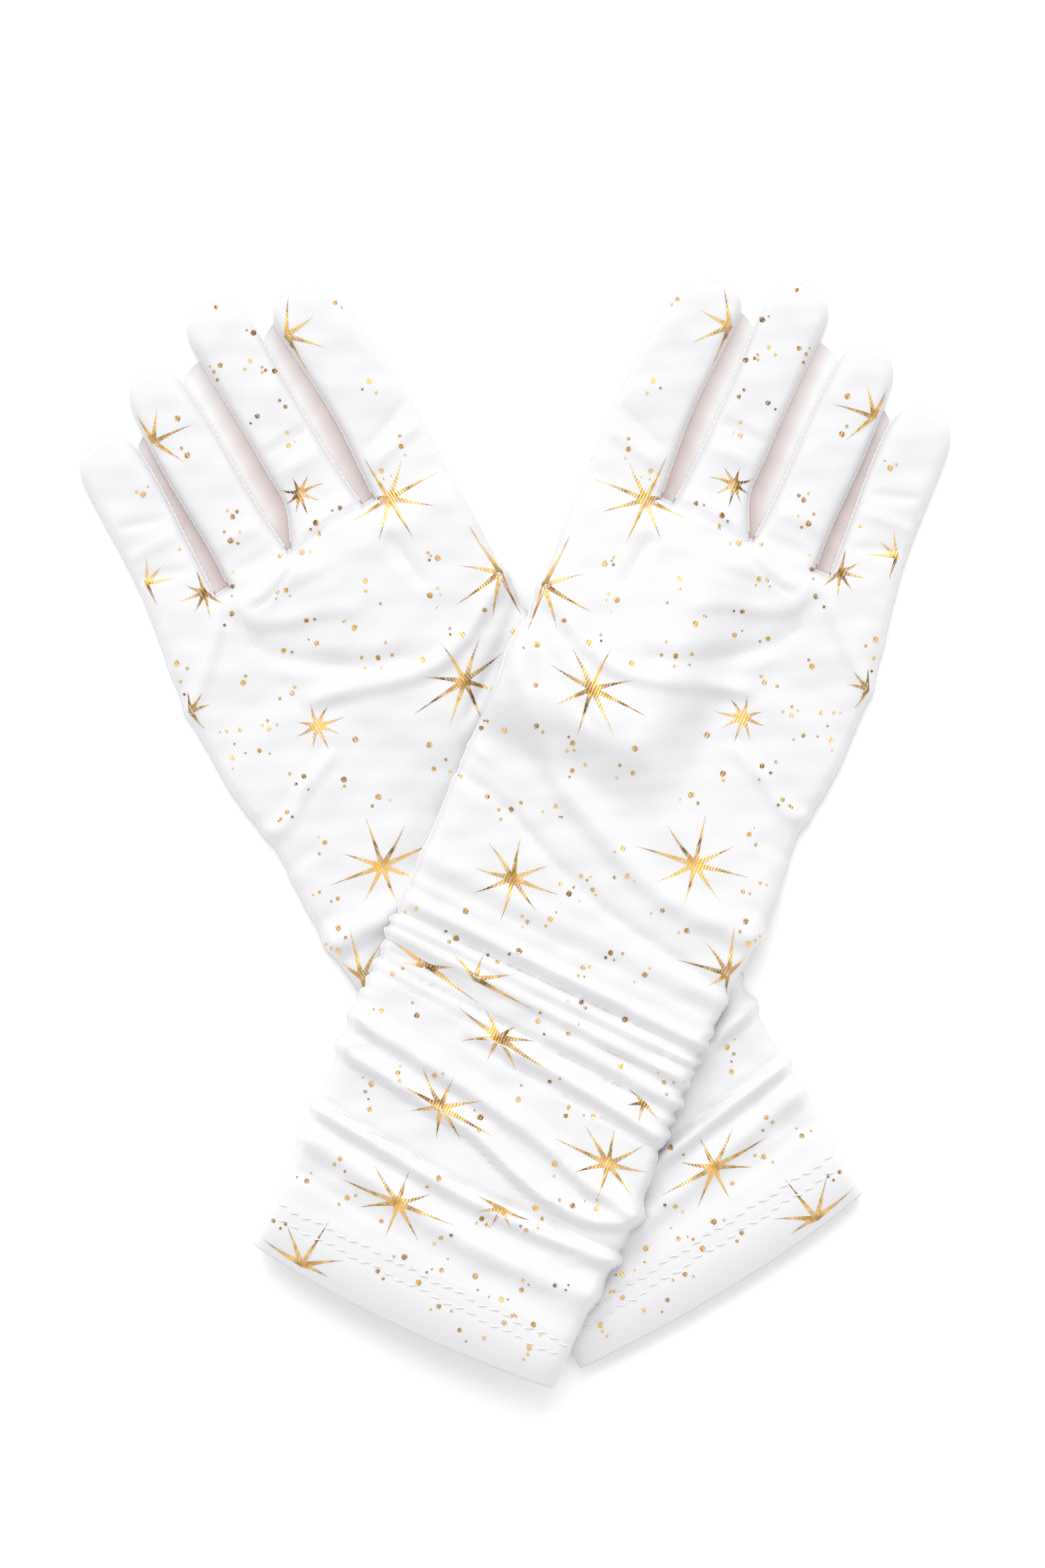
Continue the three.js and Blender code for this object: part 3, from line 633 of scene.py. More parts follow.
def fold_heights(u, v):
    """Height that the folds, ripples and hem add to the back."""
    places = np.stack([u, v], axis=1)
    height = np.zeros(len(u))
    for rise, below, above, crest in FOLDS:
        samples, along = resample(crest, 0.8)
        reach = max(below, above)
        near = np.flatnonzero((v > samples[:, 1].min() - reach) & (v < samples[:, 1].max() + reach))
        distance, pick = nearest(places[near], samples)
        direction = np.gradient(samples, axis=0)[pick]
        offset = places[near] - samples[pick]
        ahead = direction[:, 0] * offset[:, 1] - direction[:, 1] * offset[:, 0] > 0
        share = np.clip(distance / np.where(ahead, above, below), 0, 1)
        shape = 1 - share * share * (3 - 2 * share) if rise > 0 else (1 - share) ** 2 * (1 + 0.6 * share)
        for end, from_end in ((0, along[pick]), (-1, along[-1] - along[pick])):
            if abs(samples[end, 0]) < SIDE_STRIP:
                shape = shape * smooth(0, FOLD_END, from_end)
        height[near] += rise * shape
    for rise, across, forth, phase in RIPPLES:
        height += rise * np.sin(across * u + forth * v + phase + 0.8 * np.sin(0.13 * u - 0.09 * v + phase))
    height *= smooth(HEM_DEPTH, HEM_DEPTH + FOLD_START, v)
    height += HEM_PLY * (1 - smooth(HEM_DEPTH, HEM_DEPTH + HEM_STEP, v))
    for row in range(len(STITCH_ROWS)):
        away = (v - stitch_line(row, u)) / STITCH_GROOVE_WIDTH
        pucker = 1 - STITCH_PUCKER + STITCH_PUCKER * np.cos(2 * math.pi * u / STITCH_PITCH)
        height -= STITCH_GROOVE * pucker * np.exp(-away * away)
    return height * sizes().fold_depth


def stitch_line(row, u):
    """v of a row of hem stitching at u."""
    start, end = STITCH_ROWS[row]
    wander = STITCH_WAVE * 0.6 * np.sin(u * 0.55 + 2.2 * row)
    return start + (end - start) * smooth(*STITCH_SLANT, u) + wander


@lru_cache(None)
def pattern():
    """The grid that both gloves' cloth is made on."""
    columns, stations = [], []
    for k, name in enumerate(FINGERS):
        low, high = finger_edges(name, KNUCKLES)
        count = FINGER_CUT[name]["columns"]
        if stations:
            gap = GAP_COLUMNS[k - 1]
            step = (low - stations[-1]) / gap
            stations += [stations[-1] + step * i for i in range(1, gap + 1)]
        else:
            stations.append(float(low))
        first = len(stations) - 1
        stations += list(low + (high - low) * spread(count)[1:])
        columns.append((first, first + count))
    stations = np.array(stations, float)
    share = (stations - stations[0]) / (stations[-1] - stations[0])
    width = len(stations)
    rows = BODY_ROWS + FINGER_ROWS + 1
    u, v = np.zeros((rows, width)), np.zeros((rows, width))
    for j in range(BODY_ROWS + 1):
        along = KNUCKLES * j / BODY_ROWS
        low, high = body_edges(along)
        u[j] = low + (high - low) * share
        v[j] = along + curve_through(CUFF_BOW)(u[j]) * (1 - smooth(0, BOW_FADE, along))
    cells = np.zeros((rows - 1, width - 1), bool)
    cells[:BODY_ROWS] = True
    for name, (first, last) in zip(FINGERS, columns):
        cells[BODY_ROWS:, first:last] = True
        for k, along in enumerate(finger_rows(name, FINGER_ROWS)):
            low, high = finger_edges(name, along)
            row = BODY_ROWS + 1 + k
            u[row, first:last + 1] = low + (high - low) * spread(last - first)
            v[row, first:last + 1] = along
    framed = np.pad(cells, 1)
    neighbours = np.stack([framed[1:, 1:], framed[:-1, 1:], framed[1:, :-1], framed[:-1, :-1]])
    used, full = neighbours.any(axis=0), neighbours.all(axis=0)
    edge = used & ~full
    edge[0, 1:-1] = False
    places = np.stack([u[used], v[used]], axis=1)
    distance = np.zeros_like(u)
    distance[used] = nearest(places, outline())[0]
    distance[edge] = 0
    folds = np.zeros_like(u)
    folds[used] = fold_heights(u[used], v[used])
    return dict(u=u, v=v, cells=cells, edge=edge, distance=distance, folds=folds,
                columns=dict(zip(FINGERS, columns)))


def thumb_height(side, v):
    """Height of the thumb's underside."""
    if side == "left":
        return np.zeros_like(v)
    return RIGHT_THUMB_HEIGHT - RIGHT_THUMB_FALL * (v - THUMB_PIVOT[1])


def from_thumb(u, v):
    """Distance from the edge of the ground that a thumb sweeps as it swings out, negative inside."""
    aside, ahead = u - THUMB_PIVOT[0], v - THUMB_PIVOT[1]
    bearing = np.clip(np.arctan2(aside, ahead), THUMB_ANGLE - THUMB_SWING, THUMB_ANGLE)
    sin, cos = np.sin(bearing), np.cos(bearing)
    reach = np.clip(aside * sin + ahead * cos, 0, THUMB_LENGTH - THUMB_WIDTH / 2)
    return np.hypot(aside - reach * sin, ahead - reach * cos) - THUMB_WIDTH / 2


def cuff_share(side, v):
    """1 at the cuff and 0 where the glove has settled."""
    return 1 - smooth(HEM_DEPTH, HEM_DEPTH + SETTLE[side], v)


def lie(side, u, v):
    """Height of the lowest point of the glove's section: the right glove rides over the left one."""
    height = HEM_CURL * cuff_share(side, v)
    if side == "right":
        slanted = v + CROSSING_SLANT * (u + HAND_WIDTH / 2)
        over = smooth(CROSSING[0], CROSSING[1], slanted) * (1 - smooth(CROSSING[2], CROSSING[3], slanted))
        height = np.maximum(height, over * CROSSING_HEIGHT)
    rows = THUMB_ROOM_ROWS
    over_thumb = (smooth(rows[0], rows[1], v) * (1 - smooth(rows[2], rows[3], v))
                  * (1 - smooth(*THUMB_ROOM_EDGE, u)))
    top = thumb_height(side, v) + THUMB_THICKNESS + THUMB_ROOM
    return height + (top - height) * over_thumb


def crown_of(distance):
    """Share of its full height that the back has reached at a distance from an edge."""
    sharp, soft = round_edge(distance, EDGE_ROUND), round_edge(distance, SIDE_ROUND)
    return EDGE_SHARE * sharp + (1 - EDGE_SHARE) * soft


def drape(grid, rise):
    """u measured along the cloth, which turns down at its edges, so the ribs keep their pitch there."""
    u, v = grid["u"], grid["v"]
    along = u.copy()
    fade = smooth(KNUCKLES, KNUCKLES + KNUCKLE_FADE, v)
    spans = [(slice(0, BODY_ROWS + 1), 0, u.shape[1] - 1, True, True)]
    for name, (first, last) in grid["columns"].items():
        spans.append((slice(BODY_ROWS + 1, None), first, last, name == "index", name == "little"))
    for rows, first, last, low_side, high_side in spans:
        part = (rows, slice(first, last + 1))
        low = u[part] - u[rows, first:first + 1]
        high = u[rows, last:last + 1] - u[part]
        along[part] -= rise[part] * (1 - crown_of(low)) * (1.0 if low_side else fade[part])
        along[part] += rise[part] * (1 - crown_of(high)) * (1.0 if high_side else fade[part])
    return along


@lru_cache(None)
def shape(side):
    """One glove's cloth: heights of its back and palm, and the points and faces of both."""
    grid = pattern()
    u, v, distance = grid["u"], grid["v"], grid["distance"]
    base = lie(side, u, v) + SEAM_HEIGHT
    rise = BODY_RISE + GAPE[side] * cuff_share(side, v)
    rise += (FINGER_RISE - BODY_RISE) * smooth(*RISE_CHANGE, v)
    front = np.clip(v - curve_through(CUFF_BOW)(u), 0, FRONT_ROUND) / FRONT_ROUND
    top = base + (rise - FRONT_DROP * (1 - front) ** 2) * crown_of(distance)
    top += grid["folds"] * smooth(0, FOLD_FADE, distance)
    palm = base - PALM_DROP * round_edge(distance, PALM_ROUND)
    if side == "left":
        top = np.minimum(top, covered_height(u, v, top))
    rows, width = u.shape
    points = np.concatenate([np.stack([u, v, top], axis=2).reshape(-1, 3),
                             np.stack([u, v, palm], axis=2).reshape(-1, 3)])
    coordinates = np.concatenate([np.stack([drape(grid, rise), v], axis=2).reshape(-1, 2),
                                  np.stack([u, v], axis=2).reshape(-1, 2)])
    upper = np.arange(rows * width).reshape(rows, width)
    lower = np.where(grid["edge"], upper, upper + rows * width)
    back = quads(upper)[grid["cells"]]
    under = turned_over(quads(lower)[grid["cells"]])
    faces = np.concatenate([back, under])
    normals = np.zeros_like(points)
    corner = points[faces]
    facing = np.cross(corner[:, 2] - corner[:, 0], corner[:, 3] - corner[:, 1])
    for k in range(4):
        np.add.at(normals, faces[:, k], facing)
    normals /= np.maximum(np.linalg.norm(normals, axis=1), 1e-9)[:, None]
    row, column = np.nonzero(grid["cells"])
    finger = np.concatenate([np.where(row > BODY_ROWS, column, -1)] * 2)
    return dict(points=points, faces=faces, normals=normals, coordinates=coordinates,
                finger_column=finger, upper=upper, lower=lower,
                back=BVHTree.FromPolygons(points.tolist(), back.tolist()),
                palm=BVHTree.FromPolygons(points.tolist(), under.tolist()))


def covered_height(u, v, top):
    """The highest that the left glove may stand where the right one lies on it."""
    world = to_frame("left", np.stack([u.ravel(), v.ravel(), top.ravel()], axis=1))
    across, along = to_glove("right", world)
    low, high = body_edges(np.clip(along, 0, KNUCKLES))
    inside = np.minimum(np.minimum(across - low, high - across),
                        np.minimum(along - COVERED_REACH[0], COVERED_REACH[1] - along))
    limit = lie("right", across, along) - COVERED_CLEARANCE
    limit += FREE_HEIGHT * (1 - smooth(*COVERED_FADE, inside))
    under_thumb = thumb_height("right", along) - COVERED_CLEARANCE
    under_thumb += FREE_HEIGHT * smooth(*THUMB_SIDE_ROOM, from_thumb(across, along))
    return np.minimum(limit, under_thumb).reshape(u.shape)


def on_surface(side, u, v, face="back"):
    """Height and normal of the cloth at (u, v), or None off its edge."""
    high = face == "back"
    start, down = Vector((u, v, 60 if high else -60)), Vector((0, 0, -1 if high else 1))
    hit, normal, _, _ = shape(side)[face].ray_cast(start, down)
    if hit is None:
        return None
    if (normal.z > 0) != high:
        normal = -normal
    return hit.z, normal


# ------------------------------------------------------------------ materials

class Socket:
    """A socket of numbers that Python's arithmetic turns into Math nodes."""

    def __init__(self, shader, socket):
        self.shader = shader
        self.socket = socket

    def math(self, operation, *others):
        values = [self, *others]
        node = self.shader.node("ShaderNodeMath", {"operation": operation}, dict(enumerate(values)))
        return Socket(self.shader, node.outputs[0])

    def __add__(self, other):
        return self.math("ADD", other)

    __radd__ = __add__

    def __mul__(self, other):
        return self.math("MULTIPLY", other)

    __rmul__ = __mul__

    def __sub__(self, other):
        return self.math("SUBTRACT", other)

    def __rsub__(self, other):
        return (self * -1) + other

    def __truediv__(self, other):
        return self.math("DIVIDE", other)

    def __pow__(self, other):
        return self.math("POWER", other)

    def sine(self):
        return self.math("SINE")

    def clamped(self, low=0.0, high=1.0):
        return self.math("MAXIMUM", low).math("MINIMUM", high)


class Shader:
    """A material's nodes."""

    def __init__(self, name):
        self.material = bpy.data.materials.new(name)
        self.material.use_nodes = True
        self.tree = self.material.node_tree
        self.tree.nodes.clear()
        self.output = self.node("ShaderNodeOutputMaterial", {}, {})

    def node(self, kind, settings, inputs):
        """A node of that kind, with its settings first and then its sockets' values or links."""
        made = self.tree.nodes.new(kind)
        for setting, value in settings.items():
            setattr(made, setting, value)
        for name, value in inputs.items():
            if isinstance(value, Socket):
                self.tree.links.new(value.socket, made.inputs[name])
            elif isinstance(value, bpy.types.NodeSocket):
                self.tree.links.new(value, made.inputs[name])
            else:
                made.inputs[name].default_value = value
        return made

    def cloth_place(self):
        """u and v on the cloth, in metres, and the vector that holds them."""
        place = self.node("ShaderNodeUVMap", {"uv_map": "UVMap"}, {}).outputs[0]
        parts = self.node("ShaderNodeSeparateXYZ", {}, {0: place})
        return Socket(self, parts.outputs[0]), Socket(self, parts.outputs[1]), place

    def noise(self, place, scale, detail=2.0, roughness=0.5):
        """Soft noise from 0 to 1."""
        made = self.node("ShaderNodeTexNoise", {}, {
            "Vector": place, "Scale": scale, "Detail": detail, "Roughness": roughness})
        return Socket(self, made.outputs[0])

    def blend(self, share, first, second):
        """A colour between two others."""
        made = self.node("ShaderNodeMix", {"data_type": "RGBA"}, {0: share, 6: first, 7: second})
        return made.outputs[2]

    def bump(self, height, strength, distance):
        """A normal that the height raises and sinks."""
        made = self.node("ShaderNodeBump", {}, {
            "Height": height, "Strength": strength, "Distance": distance})
        return made.outputs[0]

    def surface(self, **values):
        """The Principled shader, with an underscore for each space in a socket's name."""
        inputs = {name.replace("_", " "): value for name, value in values.items()}
        return self.node("ShaderNodeBsdfPrincipled", {}, inputs).outputs[0]

    def finish(self, surface):
        """The material, with that surface as its output."""
        self.tree.links.new(surface, self.output.inputs[0])
        return self.material


def wave(place, pitch):
    """0 to 1 and back once each pitch."""
    return (place * (2 * math.pi / pitch)).sine() * 0.5 + 0.5


def ribs_of(shader, u, place):
    """The knit's ribs, 0 in a groove and 1 on a crown, and the unevenness that they wander by."""
    unevenness = shader.noise(place, RIB_NOISE)
    return wave(u + (unevenness - 0.5) * RIB_WANDER, sizes().rib_pitch), unevenness


@lru_cache(None)
def satin_material():
    """White satin knit: fine ribs down the glove, with rows of loops across them."""
    shader = Shader("white satin knit")
    u, v, place = shader.cloth_place()
    ribs, unevenness = ribs_of(shader, u, place)
    loops = wave(v + ribs * RIB_WANDER, sizes().rib_pitch * LOOP_PITCH)
    cloud = shader.noise(place, 55.0, 3.0)
    # Painted shade: ribs and loops are paler on their crowns and take the darker groove colour between them;
    # the cloud is tone that varies at random.
    crown = (ribs * 0.62 + loops * 0.1 + cloud * 0.3).clamped()
    return shader.finish(shader.surface(
        Base_Color=shader.blend(crown, colours().satin_groove_shade, colours().satin),
        Roughness=(0.56 - ribs * 0.14 + cloud * 0.08).clamped(),
        Normal=shader.bump(ribs * 0.8 + loops * 0.2 + unevenness * 0.3, 0.45, 0.00009),
        **SHEEN,
        Specular_IOR_Level=0.42,
        Subsurface_Weight=0.12,
        Subsurface_Radius=(0.0012, 0.0011, 0.0011),
        Subsurface_Scale=0.6))


@lru_cache(None)
def inside_material():
    """The matt back of the knit."""
    shader = Shader("satin knit inside")
    u, v, place = shader.cloth_place()
    grain = shader.noise(place, 1400.0)
    loops = wave(u, sizes().rib_pitch) * wave(v, sizes().rib_pitch * LOOP_PITCH)
    # Painted shade: the back is paler on the loops' crowns and darker between them; the grain is tone that
    # varies at random.
    lit_and_grain = (loops * 0.5 + grain * 0.5).clamped()
    return shader.finish(shader.surface(
        Base_Color=shader.blend(lit_and_grain, colours().satin_inside, colours().satin),
        Roughness=(0.7 + grain * 0.15).clamped(),
        Normal=shader.bump(loops * 0.7 + grain * 0.4, 0.4, 0.00008)))


@lru_cache(None)
def gap_shade_material():
    """Painted shade of the gap between the fingers: rosy and dark beside the finger, paling towards the
    strip's free edge and the fingertips.
    """
    shader = Shader("rosy lining")
    across, along, place = shader.cloth_place()
    grain = shader.noise(place, 1100.0)
    # Painted shade of the gap: darkest beside the finger, paler towards the strip's free edge and towards the
    # fingertips; the grain is tone that varies at random.
    sideways = (across / (GUSSET_WIDE * MM)).clamped() ** 1.7
    start, end = GUSSET_SHADE_FADE
    outwards = ((along - start * MM) / ((end - start) * MM)).clamped()
    lit_and_grain = (sideways * 0.7 + outwards * 0.5 + grain * 0.12).clamped()
    return shader.finish(shader.surface(
        Base_Color=shader.blend(lit_and_grain, colours().gap_shade, colours().satin),
        Roughness=(0.62 + grain * 0.2).clamped(),
        Normal=shader.bump(grain, 0.4, 0.00008)))


@lru_cache(None)
def foil_material():
    """Gold foil on the crowns of the ribs, broken where it bridges the grooves."""
    shader = Shader("gold foil print")
    u, _, place = shader.cloth_place()
    ribs, unevenness = ribs_of(shader, u, place)
    patches = shader.noise(place, 420.0, 3.0, 0.6)
    broad = shader.noise(place, 170.0, 1.0)
    # Painted reflection: broad patches, patchy noise and the ribs turn the foil from bright gold to dark
    # bronze, standing in for dark and bright things that it would mirror.
    reflection_share = ((ribs * 0.35 + patches * 0.7 + broad * 3.4) - 1.6).clamped()
    flaked = ((ribs * -0.55 + patches * 0.9 + unevenness * 0.35) * 5.0 - 2.55).clamped(0.0, 0.65)
    foil = shader.surface(
        Base_Color=shader.blend(reflection_share, colours().foil_dark_reflection, colours().foil),
        Metallic=1.0,
        Roughness=(0.34 + patches * 0.2).clamped(),
        Normal=shader.bump(ribs * 0.8 + patches * 0.7, 0.8, 0.00012))
    bare = shader.surface(Base_Color=tuple(colours().satin), Roughness=0.5, **SHEEN)
    mixed = shader.node("ShaderNodeMixShader", {}, {0: flaked, 1: foil, 2: bare})
    return shader.finish(mixed.outputs[0])


@lru_cache(None)
def thread_material():
    """Twisted polyester thread."""
    shader = Shader("white sewing thread")
    u, v, place = shader.cloth_place()
    twist = wave(u + v * 0.8, THREAD_TWIST)
    fuzz = shader.noise(place, 2600.0)
    # Painted shade: the thread is darker in the grooves of its twist; the fuzz is tone that varies at random.
    lit_and_grain = (twist * 0.6 + fuzz * 0.4).clamped()
    return shader.finish(shader.surface(
        Base_Color=shader.blend(lit_and_grain, colours().satin, colours().thread),
        Roughness=(0.5 + fuzz * 0.2).clamped(),
        Normal=shader.bump(twist + fuzz * 0.3, 0.5, 0.00006),
        Sheen_Weight=0.2))


@lru_cache(None)
def elastic_material():
    """Thin covered elastic tape."""
    shader = Shader("elastic tape")
    place = shader.node("ShaderNodeTexCoord", {}, {}).outputs["Object"]
    grain = shader.noise(place, 1800.0)
    return shader.finish(shader.surface(
        Base_Color=shader.blend(grain, colours().elastic, colours().thread),
        Roughness=(0.5 + grain * 0.2).clamped(),
        Normal=shader.bump(grain, 0.3, 0.00006)))


@lru_cache(None)
def floor_material():
    """A matt, pale floor with a faint light of its own."""
    shader = Shader("pale floor")
    place = shader.node("ShaderNodeTexCoord", {}, {}).outputs["Object"]
    grain = shader.noise(place, 6.0)
    pale = tuple(colours().floor)
    shade = tuple(0.985 * part for part in pale[:3]) + (1.0,)
    return shader.finish(shader.surface(
        Base_Color=shader.blend(grain, shade, pale), Roughness=0.9, Specular_IOR_Level=0.1,
        Emission_Color=pale, Emission_Strength=FLOOR_GLOW))


# ------------------------------------------------------------------ pieces

def blend_finger(piece, side, name):
    """Bakes the piece's place into its mesh; the finger's fold line is worked out but nothing bends over it.
    """
    first = float(finger_rows(name, FINGER_ROWS)[0])
    middle = sum(pattern()["columns"][name]) // 2
    u = float(pattern()["u"][BODY_ROWS, middle])
    start, end = to_frame(side, [(u, first, 0), (u, first + FOLD_LENGTH, 0)])
    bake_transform(piece)


def cloth_piece(side, name, picked):
    """A piece of one glove's cloth, made of the picked faces."""
    cloth = shape(side)
    faces = cloth["faces"][picked]
    kept, compact = np.unique(faces, return_inverse=True)
    _, across, along = axes_of(side)
    local = cloth["normals"][kept]
    turned = np.hstack([local[:, :1] * across + local[:, 1:2] * along, local[:, 2:3]])
    return make_piece(name, side, cloth["points"][kept], compact.reshape(faces.shape).tolist(),
                      satin_material(), cloth["coordinates"][kept], turned)


def gap_shade_gusset(side, name, other):
    """The strip down a finger's outer side, in the gap before the next finger, coloured with painted shade of
    that gap.
    """
    last = min(FINGER_CUT[name]["tip"], FINGER_CUT[other]["tip"]) - GUSSET_END
    v = np.linspace(KNUCKLES + GUSSET_START, last, GUSSET_ROWS)
    low = finger_edges(name, v)[1] - GUSSET_TUCK
    high = finger_edges(other, v)[0] - GUSSET_CLEARANCE
    closing = round_edge(last + 0.2 - v, GUSSET_ROUND)
    share = np.linspace(0, 1, GUSSET_COLUMNS + 1)
    u = low[:, None] + (np.maximum(high - low, GUSSET_LEAST) * closing)[:, None] * share
    rows = np.broadcast_to(v[:, None], u.shape)
    dip = GUSSET_DROP * np.sin(np.minimum(share * 1.6, 1) * math.pi / 2) - GUSSET_LIFT * share ** 3
    z = np.broadcast_to(SEAM_HEIGHT - 0.1 - dip, u.shape) + GUSSET_RIPPLE * np.sin(rows * 0.9 + 1.3 * share)
    points = np.stack([u, rows, z], axis=2).reshape(-1, 3)
    faces = quads(np.arange(u.size).reshape(u.shape)).reshape(-1, 4).tolist()
    coordinates = np.stack([u - low[:, None], rows], axis=2).reshape(-1, 2)
    piece = make_piece(f"{side}_{name}_gap_shade_strip", side, points, faces, gap_shade_material(),
                       coordinates)
    blend_finger(piece, side, name)
    return piece


class GLOVES_OT_cloth(bpy.types.Operator):
    """Makes the hand and forearm of each glove as one folded tube of knit, and a tube for each finger"""
    bl_idname = "gloves.cloth"
    bl_label = "Glove Cloth"

    def execute(self, context):
        for side in SIDES:
            column = shape(side)["finger_column"]
            body = cloth_piece(side, f"{side}_glove_cloth", column < 0)
            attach(body, f"{side}_glove")
            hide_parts(f"{side}_back_panel", f"{side}_palm_panel")
            for name, (first, last) in pattern()["columns"].items():
                picked = (column >= first) & (column < last)
                piece = cloth_piece(side, f"{side}_{name}_finger_cloth", picked)
                blend_finger(piece, side, name)
                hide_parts(f"{side}_{name}_upper", f"{side}_{name}_lower")
                cut = FINGER_CUT[name]
                wide = cut["outer"][1][1] - cut["inner"][1][1]
                long = cut["tip"] - KNUCKLES
                beside = FINGERS[FINGERS.index(name) + 1:][:1]
                strips = [gap_shade_gusset(side, name, other) for other in beside]
                (wide + 2 * SEAM_ALLOWANCE) * MM
                (long + 2 * SEAM_ALLOWANCE) * MM
                wide * long * MM * MM
        return {"FINISHED"}


class GLOVES_OT_hems(bpy.types.Operator):
    """Turns each cuff's edge in over a rounded lip"""
    bl_idname = "gloves.hems"
    bl_label = "Cuff Hems"

    def execute(self, context):
        for side in SIDES:
            cloth = shape(side)
            hem_row = int(round(HEM_DEPTH / KNUCKLES * BODY_ROWS))
            loops = [np.concatenate([cloth["upper"][j], cloth["lower"][j, -2:0:-1]])
                     for j in range(hem_row + 1)]
            edge, out = cloth["points"][loops[0]], cloth["normals"][loops[0]] * (1, 0, 1)
            out /= np.linalg.norm(out, axis=1)[:, None]
            rings = []
            for angle in np.radians(LIP_TURN):
                forth = np.array([0, LIP_RADIUS * math.sin(angle), 0])
                rings.append(edge + out * LIP_RADIUS * (math.cos(angle) - 1) - forth)
            for j in range(2, hem_row + 1, 2):
                ring, inward = cloth["points"][loops[j]], cloth["normals"][loops[j]] * (1, 0, 1)
                rings.append(ring - inward * 2 * LIP_RADIUS)
            piece = make_piece(f"{side}_cuff_hem_cloth", side, np.concatenate(rings),
                               ring_faces(len(rings), len(edge)), inside_material())
            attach(piece, f"{side}_glove")
            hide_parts(f"{side}_cuff_hem")
        return {"FINISHED"}


def stitch(side, row, middle, face):
    """One stitch of a row: a short thread that dips into the cloth at both ends."""
    path = []
    up = 1 if face == "back" else -1
    for share in np.linspace(-1, 1, len(STITCH_SHAPE)):
        u = middle + share * STITCH_LENGTH / 2
        v = float(stitch_line(row, u)) + STITCH_WAVE * 0.5 * math.sin(math.pi * share)
        hit = on_surface(side, u, v, face)
        if hit is None:
            return None
        path.append((u, v, hit[0] + up * (STITCH_LIFT - STITCH_DIP * share ** 4)))
    return tube(path, STITCH_RADIUS * STITCH_SHAPE)


class GLOVES_OT_stitching(bpy.types.Operator):
    """Sews two rows of stitches round each cuff"""
    bl_idname = "gloves.stitching"
    bl_label = "Hem Stitching"

    def execute(self, context):
        for side in SIDES:
            for row in range(len(STITCH_ROWS)):
                start = STITCH_ENDS[0] + row * STITCH_PITCH / 2
                middles = np.arange(start, STITCH_ENDS[1], STITCH_PITCH)
                made = [stitch(side, row, middle, face) for face in ("back", "palm") for middle in middles]
                points, faces = join([one for one in made if one is not None])
                piece = make_piece(f"{side}_cuff_stitches_{row + 1}", side, points, faces,
                                   thread_material())
                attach(piece, f"{side}_glove")
                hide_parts(f"{side}_cuff_stitch_row_{row + 1}")
        return {"FINISHED"}


def seam_cord(side, name, path):
    """An overlocked seam along a path of the cloth's edge: a cord that swells at each stitch."""
    path, along = resample(path, SEAM_STEP)
    radius = sizes().seam_radius / MM * (1 + SEAM_SWELL * np.sin(2 * math.pi * along / SEAM_PITCH))
    points, faces = tube(path, radius)
    return make_piece(name, side, points, faces, thread_material())


def edge_path(side, vertices):
    """The cloth's edge through the vertices, moved out to the seam's middle."""
    cloth = shape(side)
    out = cloth["normals"][vertices] * (1, 1, 0)
    out /= np.maximum(np.linalg.norm(out, axis=1), 1e-6)[:, None]
    return cloth["points"][vertices] + out * SEAM_OUT


class GLOVES_OT_seams(bpy.types.Operator):
    """Sews the side seams, the seams round the fingers and those between them"""
    bl_idname = "gloves.seams"
    bl_label = "Seams"

    def execute(self, context):
        columns = pattern()["columns"]
        first_row = int(round((HEM_DEPTH + 1) / KNUCKLES * BODY_ROWS))
        for side in SIDES:
            upper = shape(side)["upper"]
            for edge, column in (("thumb_side", 0), ("little_side", upper.shape[1] - 1)):
                path = edge_path(side, upper[first_row:BODY_ROWS + 2, column])
                piece = seam_cord(side, f"{side}_{edge}_seam_thread", path)
                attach(piece, f"{side}_glove")
                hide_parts(f"{side}_{edge}_seam")
            for name, (first, last) in columns.items():
                around = np.concatenate([upper[BODY_ROWS + 1:, first], upper[-1, first + 1:last],
                                         upper[:BODY_ROWS:-1, last]])
                piece = seam_cord(side, f"{side}_{name}_finger_seam_thread", edge_path(side, around))
                blend_finger(piece, side, name)
                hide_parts(f"{side}_{name}_seam")
            for name, other in zip(FINGERS, FINGERS[1:]):
                first, last = columns[name][1], columns[other][0]
                around = upper[BODY_ROWS, first:last + 1]
                piece = seam_cord(side, f"{side}_{name}_crotch_seam_thread", edge_path(side, around))
                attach(piece, f"{side}_glove")
                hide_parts(f"{side}_{name}_crotch_seam")
        return {"FINISHED"}


def thumb_half_width(along):
    """Half the thumb's width, which closes round its base and its tip."""
    radius = THUMB_WIDTH / 2
    if along < 0:
        return radius * math.sqrt(max(0.0, 1 - (along / radius) ** 2))
    short = 1 - min(1.0, (THUMB_LENGTH - along) / radius)
    return radius * (1 - short ** TIP_BLUNTNESS) ** (1 / TIP_BLUNTNESS)


def thumb_layers(side):
    """Points of a thumb's upper and then its lower layer, row by row from its base."""
    radius = THUMB_WIDTH / 2
    eased = np.sin(np.linspace(-1, 1, THUMB_ROWS) * math.pi / 2)
    rows = -0.99 * radius + (eased + 1) / 2 * (THUMB_LENGTH + 0.985 * radius)
    shares = np.sin(np.linspace(-1, 1, THUMB_COLUMNS) * math.pi / 2)
    sin, cos = math.sin(THUMB_ANGLE), math.cos(THUMB_ANGLE)
    layers = {1: [], -1: []}
    for along in rows:
        half = thumb_half_width(along)
        ends = float(round_edge(min(along - rows[0], rows[-1] - along), THUMB_EDGE))
        for share in shares:
            across = share * half
            u = THUMB_PIVOT[0] + along * sin + across * cos
            v = THUMB_PIVOT[1] + along * cos - across * sin
            full = float(round_edge(half * (1 - abs(share)), THUMB_EDGE))
            crease = THUMB_CREASE * math.sin(1.1 * along + 0.4 * across)
            for face, layer in layers.items():
                depth = THUMB_THICKNESS / 2 * THUMB_FULLNESS * full * ends + crease * full * ends * (face > 0)
                middle = float(thumb_height(side, np.array(v))) + THUMB_THICKNESS / 2
                layer.append((u, v, middle + face * (depth - THUMB_SQUASH * full)))
    return np.array(layers[1] + layers[-1])


